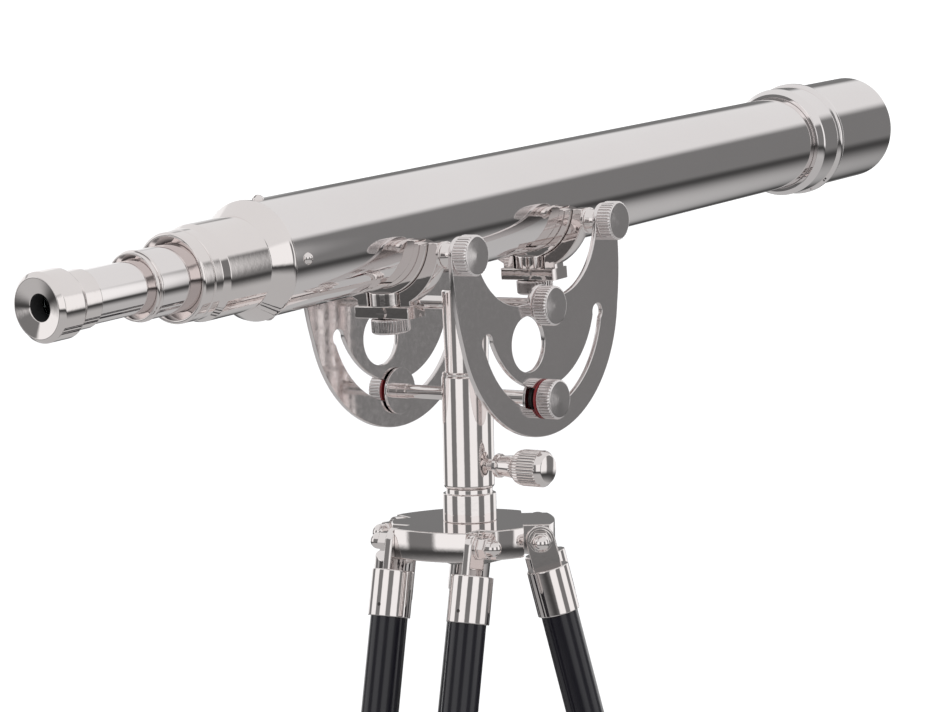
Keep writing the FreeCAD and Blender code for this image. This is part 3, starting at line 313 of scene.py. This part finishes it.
# ---- Legs: upper rods -------------------------------------------------------
# Two round hardwood rods per leg in deep black gloss lacquer, plugged into the
# nickel caps above and the clamp block below.
LACQUER = surface("black_lacquer", 0, (.004, .004, .007), (.009, .008, .012), .17, .26,
                  bump=.006, cloud=26, lines=(60, 60, 9), coat=.12)
LEG_TAGS = "abc"
ROD_Y, ROD_R, ROD_LOW, ROD_TOP = 32.1, 13, -756, -23
LEG = []
for tag in LEG_TAGS:
    down = np.array(JOINT["leg_%s_extend" % tag]["axis"])
    side_dir = -np.array(JOINT["leg_%s_fold" % tag]["axis"])
    LEG.append(basis(JOINT["leg_%s_fold" % tag]["pos_m"], np.cross(side_dir, -down), side_dir))
for tag, m in zip(LEG_TAGS, LEG):
    rod = eased([(ROD_LOW, 0), (ROD_LOW, ROD_R), (ROD_TOP, ROD_R), (ROD_TOP, 0)], .8, False)
    rods = [spin(rod, m, "Z", (0, y, 0), 96, False) for y in (ROD_Y, -ROD_Y)]
    piece("leg_rods_lacquered_" + tag, rods, "leg_" + tag, ["leg_rods_" + tag], LACQUER)

# ---- Legs: caps and clamp block ---------------------------------------------
# Nickel caps turned in one with a flat tab and pinned by a small nail; the tab
# hangs on the hinge bolt. Lower down a cast block joins the rods and grips the
# sliding lower leg.
CAP_LOW, CAP_TOP, CAP_R, TAB_W, TAB_T = -53.0, -20.0, 15.0, 10.2, 6.0
BLOCK_LOW, BLOCK_TOP, BLOCK_R = -760, -724, 17
# Near-black matt colour for the flat discs that stand in for the nail holes: painted shade.
NAIL_HOLE_SHADE = surface("nail_hole_painted_shade", 0, (.02, .018, .016), (.035, .03, .028), .6, .8)
tab_outline = np.vstack([arc(0, 0, TAB_W, 0, 180, 40), [(-TAB_W, -21), (TAB_W, -21)]])
stadium = np.vstack([arc(0, ROD_Y, BLOCK_R, 0, 180, 40), arc(0, -ROD_Y, BLOCK_R, 180, 360, 40)])
cap_profile = eased([(CAP_LOW, 13), (CAP_LOW, CAP_R), (CAP_TOP, CAP_R), (CAP_TOP, 0)], .9, False)
for tag, m in zip(LEG_TAGS, LEG):
    fittings, nail_hole_shades = [], []
    for y in (ROD_Y, -ROD_Y):
        cap_line = np.vstack([[(CAP_LOW + 8, ROD_R - .1)], [(CAP_LOW + .3, ROD_R - .1)], cap_profile[1:]])
        fittings.append(spin(cap_line, m, "Z", (0, y, 0), 96, False))
        fittings.append(profile_slab([tab_outline], y - TAB_T / 2, y + TAB_T / 2, .6, "XZ", m))
        # A flat near-black disc flush with the cap, painted as the shade inside the nail hole.
        hole = [(CAP_R - .6, 0), (CAP_R - .6, 1.3), (CAP_R + .04, 1.3), (CAP_R + .04, 0)]
        nail_hole_shades.append(spin(hole, m, "X", (0, y, CAP_LOW + 8), 20, False))
    fittings.append(profile_slab([stadium], BLOCK_LOW, BLOCK_TOP, 1.5, "XY", m))
    piece("leg_fittings_plated_" + tag, fittings, "leg_" + tag, ["leg_fittings_" + tag], NICKEL)
    piece("cap_nail_hole_shades_" + tag, nail_hole_shades, "leg_" + tag, [], NAIL_HOLE_SHADE)

# ---- Legs: clamp screws -----------------------------------------------------
# A knurled thumbscrew through each clamp block, pressing on the lower rod.
for tag, m in zip(LEG_TAGS, LEG):
    screw = eased([(13.2, 0), (13.2, 3), (19, 3), (19, 5.5), (27, 5.5), (27, 10), (41, 10), (41, 0)],
                  .7, False)
    middle = (0, 0, (BLOCK_LOW + BLOCK_TOP) / 2)
    piece("clamp_screw_" + tag, [spin(screw, m, "X", middle, 240, False, flutes=(27.5, 40.2, 28, .6))],
          "clamp_knob_" + tag, ["leg_screw_" + tag], NICKEL)

# ---- Legs: lower rods, brackets, feet ---------------------------------------
# One lacquered rod slides between the upper pair. A bracket on its top rides on
# the upper rods; a turned socket and a black rubber tip finish it at the floor.
SOLE = JOINT["leg_a_fold"]["pos_m"][2] / abs(JOINT["leg_a_extend"]["axis"][2]) / MM
RUBBER = surface("black_rubber", 0, (.022, .022, .023), (.035, .034, .034), .55, .8, .4, 120)
LOWER_TOP, GUIDE_LOW, GUIDE_TOP = -653, -674, -650
foot_top, foot_low = 67 - SOLE, 24 - SOLE
for tag, m in zip(LEG_TAGS, LEG):
    body = "lower_leg_" + tag
    rod = eased([(55 - SOLE, 0), (55 - SOLE, ROD_R), (LOWER_TOP, ROD_R), (LOWER_TOP, 0)], .8, False)
    piece("lower_rod_lacquered_" + tag, [spin(rod, m, "Z", n=96, closed=False)], body,
          ["lower_rod_" + tag], LACQUER)
    ringed = [stadium, arc(0, ROD_Y, 13.1, 0, 354, 60), arc(0, -ROD_Y, 13.1, 0, 354, 60)]
    socket = eased([(foot_low, 9.5), (foot_low, 13.5), (foot_low + 10, 15), (foot_top, 15),
                    (foot_top, 13)], .8)
    piece("lower_fittings_plated_" + tag,
          [profile_slab(ringed, GUIDE_LOW, GUIDE_TOP, .8, "XY", m), spin(socket, m, "Z", n=96)],
          body, ["lower_fittings_" + tag], NICKEL)
    along = np.array(JOINT["leg_%s_extend" % tag]["axis"])
    tip = eased([(foot_low - 40, 0), (foot_low - 40, 12.5), (foot_low - 9, 12.5), (foot_low - 8, 11.7),
                 (foot_low - 7, 11.7), (foot_low - 6, 12.5), (foot_low, 12.2), (foot_low, 9.5),
                 (foot_low + 12, 9.5), (foot_low + 12, 0)], .8, False)
    # The part below the floor is pushed back up along the leg, which leaves a flat sole.
    v, faces, flat = spin(tip, m, "Z", n=72, closed=False)
    v -= along * (np.minimum(v[:, 2:3], 0.0) / along[2])
    piece("foot_tip_rubber_" + tag, [(v, faces, flat)], body, ["foot_tip_" + tag], RUBBER)

# ---- Column sleeve and neck -------------------------------------------------
# Polished sleeve that turns on the spigot, and the slightly tapered neck plugged
# into its top; the cross rods pass through both.
sleeve = eased([(-132, 14.3), (-132, 17.2), (-130.4, 18.4), (-52.5, 18.4), (-51, 17.6), (-50.2, 17.9),
                (-48.6, 17.2), (-48.6, 14)], .6)
piece("column_sleeve_plated", [spin(sleeve, PAN, "Z", n=160)], "pan_head", ["column_sleeve"],
      NICKEL)
neck = eased([(-60, 0), (-60, 11.4), (-50, 11.4), (-50, 15.4), (9, 17), (10, 16), (10, 0)], .7, False)
piece("column_neck_plated", [spin(neck, PAN, "Z", n=160, closed=False)], "pan_head", ["column_neck"],
      NICKEL)

# ---- Cross rods and tilt-lock washers ---------------------------------------
# The pivot rod carries both plates. The lock rod rides in their crescent slots with
# a bright disc and a black bush inside each plate and a dark red fibre washer outside.
HALF_GAP, PLATE_T, LOCK_Z, PAN_SCREW_Z = 64.0, 3.5, -65.4, -115


def cross_rod(name, node, z, thick_end, mat, collar=0.0):
    """Turned rod: thick middle, thinner ends, and a short collar at each end if asked."""
    half = [(thick_end, 4), (77.4, 4), (77.4, 0)]
    if collar:
        step = thick_end - collar
        half = [(step - .6, 5), (step - .5, 4.6), (step, 4.6), (step + .1, 5.6), (thick_end, 5.6)] + half
    else:
        half = [(thick_end, 5)] + half
    line = [(-x, y) for x, y in half[::-1]] + half
    piece(name, [spin(eased(line, .3, False), PAN, "Y", (0, 0, z), 64, False)], "pan_head", [node],
          mat)


cross_rod("pivot_rod_plated", "pivot_rod", 0, 63.9, NICKEL)
cross_rod("lock_rod_plated", "lock_rod", LOCK_Z, 60.6, NICKEL, 7.5)
RED = surface("red_fibre", 0, (.20, .012, .014), (.12, .006, .010), .35, .5, .3, 200)
BLACK = surface("black_fibre", 0, (.012, .011, .011), (.022, .02, .02), .4, .6, .3, 200)


def washers(name, node, inner, outer, r_in, r_out, mat):
    """The same ring on both sides, from inner to outer distance off the middle."""
    rings = [spin(eased([(s * inner, r_in), (s * inner, r_out), (s * outer, r_out), (s * outer, r_in)], .3),
                  PAN, "Y", (0, 0, LOCK_Z), 96) for s in (1, -1)]
    piece(name, rings, "pan_head", [node], mat)


washers("lock_discs_plated", "lock_discs", 60.6, 62.6, 4, 17, NICKEL_FACE)
washers("lock_bushes_black", "lock_bushes", 62.6, 63.8, 4, 11, BLACK)
washers("lock_washers_red", "lock_red_washers", 67.6, 69.2, 4, 14, RED)

# ---- Pan lock screw ---------------------------------------------------------
# Thumbscrew into the sleeve: coarse thread, small collar, plain waist and a
# flared, fluted head with a polished end.
thread_rows = np.linspace(-24.6, -18.2, 64)
pan_line = np.vstack([
    [(-70, 0), (-70, 9.3), (-69.6, 10), (-66.2, 12.8), (-65.8, 13), (-50, 13), (-46, 12.2), (-42.5, 9.2),
     (-40, 8.1), (-29.8, 7.1), (-29.4, 7.2), (-29.2, 8.2), (-28.8, 8.6), (-26.4, 8.6), (-26, 8.2),
     (-25.8, 5), (-25, 4)],
    np.c_[thread_rows, np.full(64, 3.7)], [(-14.4, 3.7), (-14.4, 0)]])
head_rows = np.linspace(-65.6, -30.2, 24)
r_rows = np.interp(head_rows, pan_line[:11, 0], pan_line[:11, 1])
pan_line = np.vstack([pan_line[:5], np.c_[head_rows, r_rows], pan_line[10:]])
pan_screw = spin(pan_line, PAN, "Y", (0, 0, PAN_SCREW_Z), 300, False,
                 flutes=(-65.7, -41, 34, .55), thread=(-24.7, -18, 1.25, .38))
piece("pan_lock_screw_plated", [pan_screw], "pan_screw", ["pan_lock_screw"], NICKEL)

# ---- Mount plates -----------------------------------------------------------
# Two mirror-polished plates with rounded edges: round belly, two horns, a hollow
# top with a hump round the pivot, a crescent slot and one round hole.
REACH, RISE, HORN, DIP, HUMP = 86.0, 48.0, 13.0, 4.0, 15.0


def three_point(p, q, r, n=40):
    """Arc through three points, in the plane."""
    (ax, ay), (bx, by), (cx, cy) = p, q, r
    d = 2 * (ax * (by - cy) + bx * (cy - ay) + cx * (ay - by))
    ux = ((ax**2 + ay**2) * (by - cy) + (bx**2 + by**2) * (cy - ay) + (cx**2 + cy**2) * (ay - by)) / d
    uy = ((ax**2 + ay**2) * (cx - bx) + (bx**2 + by**2) * (ax - cx) + (cx**2 + cy**2) * (bx - ax)) / d
    a0, a1, a2 = (math.atan2(y - uy, x - ux) for x, y in (p, q, r))
    span, mid = (a2 - a0) % (2 * math.pi), (a1 - a0) % (2 * math.pi)
    span = span if mid < span else span - 2 * math.pi
    k = a0 + np.linspace(0, 1, n) * span
    rad = math.hypot(ax - ux, ay - uy)
    return np.c_[ux + rad * np.cos(k), uy + rad * np.sin(k)]


SIDE, NOTCH = REACH + HORN, REACH - HORN
hump_x = math.sqrt(HUMP**2 - DIP**2)
right_half = np.vstack([
    three_point((0, HUMP), (HUMP * .55, HUMP * .835), (hump_x, DIP), 16)[:-1], [(hump_x, DIP)],
    three_point((26, DIP), (NOTCH - 15, DIP + 15), (NOTCH, RISE), 40)[:-1],
    three_point((NOTCH, RISE), (REACH, RISE + HORN), (SIDE, RISE), 40)[:-1],
    three_point((SIDE, RISE), (SIDE - .6, 16), (SIDE - 6, -14), 30)[:-1],
    three_point((SIDE - 6, -14), (66.4, -64.65), (0, -92), 60)])
outline = np.vstack([right_half[:-1], (right_half * [-1, 1])[::-1][:-1]])
OUT_R, IN_R, IN_UP, TIP, HALF = 73.0, 65.2, 7.2, 4.6, math.radians(78)
path = OUT_R - TIP - 3
low_a, low_b = HALF - .07, HALF - .16
outer_end = (OUT_R * math.sin(low_a), -OUT_R * math.cos(low_a))
inner_end = (IN_R * math.sin(low_b), IN_UP - IN_R * math.cos(low_b))
tip_top = (path * math.sin(HALF) + TIP * .9 * math.cos(HALF) - .2,
           -path * math.cos(HALF) + TIP * .9 * math.sin(HALF))
slot_right = np.vstack([
    three_point((0, -OUT_R), (OUT_R * math.sin(low_a / 2), -OUT_R * math.cos(low_a / 2)), outer_end, 60)[:-1],
    three_point(outer_end, tip_top, inner_end, 20)[:-1],
    three_point(inner_end, (IN_R * math.sin(low_b / 2), IN_UP - IN_R * math.cos(low_b / 2)),
                (0, IN_UP - IN_R), 60)])
slot_ring = np.vstack([slot_right[:-1], (slot_right * [-1, 1])[::-1][:-1]])
holes = [slot_ring, arc(-20, -24, 19.5, 0, 356, 90), arc(0, 0, 4.05, 0, 350, 36),
         arc(REACH, RISE, 4, 0, 350, 36), arc(-REACH, RISE, 4, 0, 350, 36)]
for tag, low in (("right", -HALF_GAP - PLATE_T), ("left", HALF_GAP)):
    piece("plate_polished_" + tag, [profile_slab([outline] + holes, low, low + PLATE_T, .5, "XZ", SCOPE)],
          "scope", ["mount_plate_" + tag], NICKEL_FACE)

# ---- Saddles: straps, forks, bosses -----------------------------------------
# A curved strap hugs the tube from below. Outside it a fork of square section rises
# from a window-framed bar; a round boss stands in the window under the strap.
STRAP_IN, STRAP_OUT, FORK_IN, FORK_OUT, FORK_FACE = 38.1, 43.1, 43.5, 53.1, 50.8


def side_points(r, z, n, z_end):
    """Arc of the tube-centred circle, right half, from height z down to z_end."""
    a0 = math.degrees(math.asin((z - TUBE_RISE) / r))
    a1 = math.degrees(math.asin(max(-1, (z_end - TUBE_RISE) / r)))
    return arc(0, TUBE_RISE, r, a0, a1, n)


lo = side_points(STRAP_OUT, 56, 90, TUBE_RISE - STRAP_OUT)
hi = side_points(STRAP_IN, 56, 90, TUBE_RISE - STRAP_IN)
strap = np.vstack([lo, (lo * [-1, 1])[::-1][1:], (hi * [-1, 1]), hi[::-1][1:]])
flat_z = TUBE_RISE - math.sqrt(FORK_OUT**2 - FORK_FACE**2)
cheek_z = TUBE_RISE - math.sqrt(FORK_OUT**2 - 23.1**2)
window_z = TUBE_RISE - math.sqrt(FORK_IN**2 - 14**2)
out_half = np.vstack([[(FORK_FACE, 57)], side_points(FORK_OUT, flat_z, 60, cheek_z), [(23.1, 4.9)]])
in_half = np.vstack([side_points(FORK_IN, 57, 60, window_z), [(14, 12.6)]])
fork = np.vstack([out_half, (out_half * [-1, 1])[::-1], (in_half * [-1, 1]), in_half[::-1]])
bar = np.array([(23.5, 4.5), (23.5, 13), (-23.5, 13), (-23.5, 4.5)])
straps, forks, bosses = [], [], []
for x in (-REACH, REACH):
    straps.append(profile_slab([strap], x - 8, x + 8, .6, "YZ", SCOPE))
    forks.append(profile_slab([fork], x - 6, x + 6, .7, "YZ", SCOPE))
    forks.append(profile_slab([bar], x - 9.5, x + 9.5, .7, "YZ", SCOPE))
    bosses.append(spin(eased([(13, 4.1), (13, 13), (22.6, 13), (22.6, 4.1)], .6), SCOPE, "Z", (x, 0, 0), 80))
piece("saddle_straps_plated", straps, "scope", ["saddle_straps"], NICKEL)
piece("saddle_forks_plated", forks, "scope", ["saddle_yokes"], NICKEL)
piece("saddle_bosses_plated", bosses, "scope", ["saddle_bosses"], NICKEL)

# ---- Horn spacers -----------------------------------------------------------
# Flanged turned spacers between each fork arm and its plate, with a small bead.
spacers = []
for x in (-REACH, REACH):
    for s in (1, -1):
        line = [(s * 50.9, 4), (s * 50.9, 9.5), (s * 53.4, 9.5), (s * 53.9, 8.4), (s * 58, 7.8),
                (s * 61.2, 7), (s * 61.8, 8), (s * 63.9, 8), (s * 63.9, 4)]
        spacers.append(spin(eased(line, .4), SCOPE, "Y", (x, 0, RISE), 80))
piece("horn_spacers_plated", spacers, "scope", ["horn_spacers"], NICKEL)

# ---- Knurled knobs ----------------------------------------------------------
# Ten round knobs with straight coarse flutes and a shallow coned, turned face: two on
# the pivot rod, two on the lock rod, four on the horn pins, two under the saddles.


def knob_profile(face, length, r, s):
    """Closed profile of a knob whose seat is at the face, pointing along s."""
    rows = [(face, 0), (face, r - 1.2), (face + s * .9, r), (face + s * (length - 1.7), r),
            (face + s * (length - .6), r - 1.5), (face + s * length, 1.6), (face + s * length, 0)]
    return eased(rows, .35, False)


def knob(name, node, body, m, at, s, face, length=12.0, r=14.0, axis="Y", count=36):
    """One fluted knob."""
    ends = sorted((face + s * .5, face + s * (length - 1.1)))
    line = knob_profile(face, length, r, s)
    piece(name, [spin(line, m, axis, at, count * 10, False, (ends[0], ends[1], count, 1.0))],
          body, [node], NICKEL_FACE)


for tag, s in (("right", -1), ("left", 1)):
    knob("pivot_knob_fluted_" + tag, "pivot_knob_" + tag, "pivot_nut_" + tag, PAN, (0, 0, 0), s, s * 67.6)
    knob("lock_knob_fluted_" + tag, "lock_knob_" + tag, "lock_nut_" + tag, PAN, (0, 0, LOCK_Z), s, s * 69.3)
    for end, x in (("near", -REACH), ("far", REACH)):
        name = "horn_knob_%s_%s" % (end, tag)
        knob(name.replace("knob", "knob_fluted"), name, "horn_nut_%s_%s" % (end, tag), SCOPE,
             (x, 0, RISE), s, s * 67.6)
for end, x in (("near", -REACH), ("far", REACH)):
    knob("saddle_knob_fluted_" + end, "saddle_screw_" + end, "saddle_knob_" + end, SCOPE, (x, 0, 0), -1, 4.2,
         11.0, 13.5, "Z")

# ---- Main tube --------------------------------------------------------------
# Long seamless brass tube, polished and nickel plated.
tube = eased([(-222, 36.5), (-222, 38.1), (520, 38.1), (520, 36.5)], .3)
piece("main_tube_plated", [spin(tube, TUBE, "X", n=256)], "scope", ["main_tube"], NICKEL_TUBE)

# ---- End bushing ------------------------------------------------------------
# Turned bushing at the eyepiece end: a cone flange against the tube, a plain sleeve,
# a chamfer, two bands with a fine groove and a dished mouth for the draw tube.
bush = eased([
    (-297.5, 26.6), (-297.5, 27.8), (-296.3, 28.8), (-288.4, 28.8), (-288, 28.2), (-287.4, 28.2), (-287, 29),
    (-280.5, 29), (-275.5, 31), (-237.5, 31), (-237.2, 31.4), (-225.2, 39.0), (-224, 39.4), (-222.1, 39.4),
    (-222.1, 36.5), (-200, 36.5), (-200, 21.75), (-292.5, 21.75)], .35)
piece("end_bushing_plated", [spin(bush, TUBE, "X", n=224)], "scope", ["end_bushing"], NICKEL)

# ---- Dew cap ----------------------------------------------------------------
# Turned ring with a stepped double bead, and the plain cap in front of it, matt
# black inside against stray light.
RINGS = [(446, 38.2), (446, 41.5), (451, 44.4), (452.5, 45), (474, 45), (474.4, 44.4), (475.2, 44.4),
         (476.5, 46.4), (478, 47), (481, 47), (482.6, 46.2), (484, 43.6), (484.4, 43.3), (573, 43.3),
         (574, 42.7), (574, 41.8), (487.4, 41.7), (487.2, 38.2)]
piece("dew_cap_plated", [spin(eased(RINGS, .5), TUBE, "X", n=224)], "dew_cap", ["hood"],
      NICKEL_TUBE)
LINING = surface("matt_black", 0, (.012, .012, .013), (.02, .02, .02), .7, .85, .2, 150)
piece("dew_cap_lining", [spin([(488, 41.66), (571, 41.76), (571, 41.4), (488, 41.4)], TUBE, "X", n=160)],
      "dew_cap", [], LINING)

# ---- Draw tubes and collar --------------------------------------------------
# Two thin polished draw tubes; the outer one ends in a ringed, dished collar that
# guides the inner one.
outer_draw = eased([(-326, 19.2), (-326, 21.7), (-190, 21.7), (-190, 19.2)], .3)
piece("draw_tube_outer", [spin(outer_draw, TUBE, "X", n=192)], "draw_outer", ["draw_tube_2"],
      NICKEL_TUBE)
collar = eased([(-331, 20.3), (-331, 21.2), (-330.4, 21.6), (-329.3, 21.6), (-328.9, 21.2), (-328.5, 21.2),
                (-328.1, 22.3), (-326.6, 22.3), (-326, 21.8), (-326, 19.15), (-304, 19.15), (-304, 16.75),
                (-327.5, 16.75)], .25)
piece("draw_collar_ringed", [spin(collar, TUBE, "X", n=192)], "draw_outer", ["draw_collar"], NICKEL)
inner_draw = eased([(-386, 15.1), (-386, 16.7), (-225, 16.7), (-225, 15.1)], .3)
piece("draw_tube_inner", [spin(inner_draw, TUBE, "X", n=192)], "draw_inner", ["draw_tube_1"],
      NICKEL_TUBE)

# ---- Eyecup -----------------------------------------------------------------
# Turned eyepiece cap with a dished, mirror-bright face round the eye hole.
cup = eased([(-408.4, 8.4), (-411, 18.1), (-411, 18.7), (-408, 21.4), (-392, 21.4), (-388, 18.1),
             (-374.5, 18.1), (-374.5, 16.75), (-388.4, 16.7), (-388.4, 13.7), (-398, 13.7), (-398, 8.4)], .45)
piece("eyecup_turned", [spin(cup, TUBE, "X", n=192)], "draw_inner", ["eyecup"], NICKEL)

# ---- Blackened insides ------------------------------------------------------
# The eye hole, draw tubes and main tube are painted matt black inside, so the eye
# hole looks dark.
for name, near_end, far_end, outer, inner, body in (
    ("eye_hole_black", -408.2, -398.2, 8.38, 8.2, "draw_inner"),
    ("draw_tube_lining", -385, -226, 15.06, 14.9, "draw_inner"),
    ("main_tube_lining", -199, 489, 36.46, 36.3, "scope"),
):
    count = 96 if body == "scope" else 64
    sleeve = [(near_end, outer), (far_end, outer), (far_end, inner), (near_end, inner)]
    piece(name, [spin(sleeve, TUBE, "X", n=count)], body, [], LINING)

# ---- Kept CAD pieces --------------------------------------------------------
# Pins, small screws, the spigot nut, lens cells and lenses have their right shape
# already and only take their materials.
GLASS = bpy.data.materials.new("coated_glass")
GLASS.use_nodes = True
gn, gl = GLASS.node_tree.nodes, GLASS.node_tree.links
gs = gn["Principled BSDF"]
gs.inputs["Transmission Weight"].default_value = 1.0
gs.inputs["IOR"].default_value = 1.52
gg = gn.new("ShaderNodeGroup")
gg.node_tree = PLATING
gg.inputs["Cloud Scale"].default_value = 30
gg.inputs["Line Scale"].default_value = (60, 60, 60)
gg.inputs["Tint A"].default_value = (.90, .96, .95, 1)
gg.inputs["Tint B"].default_value = (.84, .92, .93, 1)
gg.inputs["Rough Low"].default_value = 0.0
gg.inputs["Rough High"].default_value = 0.03
gl.new(gg.outputs["Color"], gs.inputs["Base Color"])
gl.new(gg.outputs["Roughness"], gs.inputs["Roughness"])
for node, mat in (
    ("horn_pins", NICKEL), ("bar_screws", NICKEL), ("bushing_screws", NICKEL), ("spigot_nut", STEEL),
    ("objective_cell", LINING), ("erector_cell", LINING), ("objective_lens", GLASS),
    ("eyepiece_lenses", GLASS),
):
    data = frame["nodes"][node].data
    for k in range(len(data.materials)):
        data.materials[k] = mat

# ---- Floor ------------------------------------------------------------------
# Plain pale floor.
FLOOR = surface("pale_floor", 0, (.93, .93, .94), (.90, .90, .915), .7, .9, .02, 2)
FLOOR_HALF = 40.0
mesh = bpy.data.meshes.new("floor")
mesh.from_pydata([(x * FLOOR_HALF, y * FLOOR_HALF, 0) for x, y in ((-1, -1), (1, -1), (1, 1), (-1, 1))],
                 [], [(0, 1, 2, 3)])
floor = bpy.data.objects.new("floor", mesh)
bpy.context.scene.collection.objects.link(floor)
mesh.materials.append(FLOOR)
floor.visible_glossy = False

# ---- Room light -------------------------------------------------------------
# A plain white studio: the camera and matt surfaces meet even white. Polished metal
# mirrors a simple room instead, with six equal soft boxes evenly round the walls,
# darker gaps between them, a bright ceiling, a grey floor and a dark skirting.
BOX_COUNT, BOX_LEVEL, GAP_LEVEL = 6, 1.0, 0.2
CEILING, FLOOR_GREY, SKIRTING = 0.8, 0.5, 0.06
WALL_FOOT, WALL_HEAD, BLEND = -0.25, 0.35, 0.12
PLAIN_LEVEL = 1.2
world = bpy.data.worlds.new("room")
bpy.context.scene.world = world
world.use_nodes = True
wn, wl = world.node_tree.nodes, world.node_tree.links
wn.clear()
wout = wn.new("ShaderNodeOutputWorld")
wco = wn.new("ShaderNodeTexCoord")
sep = wn.new("ShaderNodeSeparateXYZ")
wl.new(wco.outputs["Generated"], sep.inputs[0])


def wmath(op, a, b=None):
    """A world math node on sockets or numbers."""
    node = wn.new("ShaderNodeMath")
    node.operation = op
    for k, x in enumerate((a, b)):
        if x is None:
            continue
        if isinstance(x, (int, float)):
            node.inputs[k].default_value = x
        else:
            wl.new(x, node.inputs[k])
    return node.outputs[0]


def soft_step(value, start, end, low, high):
    """Smooth rise from low to high while the value goes from start to end."""
    node = wn.new("ShaderNodeMapRange")
    node.interpolation_type = "SMOOTHSTEP"
    for key, number in (("From Min", start), ("From Max", end)):
        node.inputs[key].default_value = number
    for key, x in (("To Min", low), ("To Max", high)):
        if isinstance(x, (int, float)):
            node.inputs[key].default_value = x
        else:
            wl.new(x, node.inputs[key])
    wl.new(value, node.inputs["Value"])
    return node.outputs["Result"]


height = sep.outputs[2]
around = wmath("ARCTAN2", sep.outputs[1], sep.outputs[0])
boxes = soft_step(wmath("COSINE", wmath("MULTIPLY", around, BOX_COUNT)), -0.5, 0.1, GAP_LEVEL, BOX_LEVEL)
ground = soft_step(height, WALL_FOOT - 2 * BLEND, WALL_FOOT, FLOOR_GREY, SKIRTING)
walls = soft_step(height, WALL_FOOT, WALL_FOOT + BLEND, ground, boxes)
mirrored_level = soft_step(height, WALL_HEAD, WALL_HEAD + BLEND, walls, CEILING)
glossy = wn.new("ShaderNodeBackground")
glossy.inputs["Color"].default_value = (1, 1, 1, 1)
wl.new(mirrored_level, glossy.inputs["Strength"])
plain = wn.new("ShaderNodeBackground")
plain.inputs["Color"].default_value = (1, 1, 1, 1)
plain.inputs["Strength"].default_value = PLAIN_LEVEL
light_path = wn.new("ShaderNodeLightPath")
choose = wn.new("ShaderNodeMixShader")
wl.new(light_path.outputs["Is Glossy Ray"], choose.inputs[0])
wl.new(plain.outputs[0], choose.inputs[1])
wl.new(glossy.outputs[0], choose.inputs[2])
wl.new(choose.outputs[0], wout.inputs["Surface"])


def area(name, place, target, size, power):
    """Soft square lamp aimed at a point."""
    lamp = bpy.data.lights.new(name, "AREA")
    lamp.size, lamp.energy = size, power
    obj = bpy.data.objects.new(name, lamp)
    way = np.array(target, float) - np.array(place, float)
    way /= np.linalg.norm(way)
    side = np.cross(way, (0, 0, 1))
    side /= np.linalg.norm(side)
    up = np.cross(side, way)
    m = np.eye(4)
    m[:3, 0], m[:3, 1], m[:3, 2], m[:3, 3] = side, up, -way, place
    obj.matrix_world = Matrix(m.tolist())
    obj.visible_glossy = False
    bpy.context.scene.collection.objects.link(obj)


area("key", (-2.0, -2.6, 3.2), (0, 0, 1.2), 1.6, 20)
area("fill", (2.4, -1.2, 2.4), (0, 0, 1.2), 1.8, 10)

# ---- Camera -----------------------------------------------------------------
# Long lens, a little above the pivot, looking slightly down with a slight roll.
AZ, EL, ROLL = math.radians(-53.1), math.radians(5.015), math.radians(-1.194)
CAM = PIVOT + np.array([-1.463, -1.106, 0.123])
back = np.array([math.sin(AZ) * math.cos(EL), -math.cos(AZ) * math.cos(EL), math.sin(EL)])
right = np.array([math.cos(AZ), math.sin(AZ), 0.0])
up = np.cross(back, right)
m = np.eye(4)
m[:3, 0] = math.cos(ROLL) * right + math.sin(ROLL) * up
m[:3, 1] = math.cos(ROLL) * up - math.sin(ROLL) * right
m[:3, 2], m[:3, 3] = back, CAM
cam_data = bpy.data.cameras.new("camera")
cam_data.sensor_width, cam_data.lens = 36.0, 97.65474
camera = bpy.data.objects.new("camera", cam_data)
camera.matrix_world = Matrix(m.tolist())
bpy.context.scene.collection.objects.link(camera)
bpy.context.scene.camera = camera
bpy.context.scene.view_settings.view_transform = "Standard"
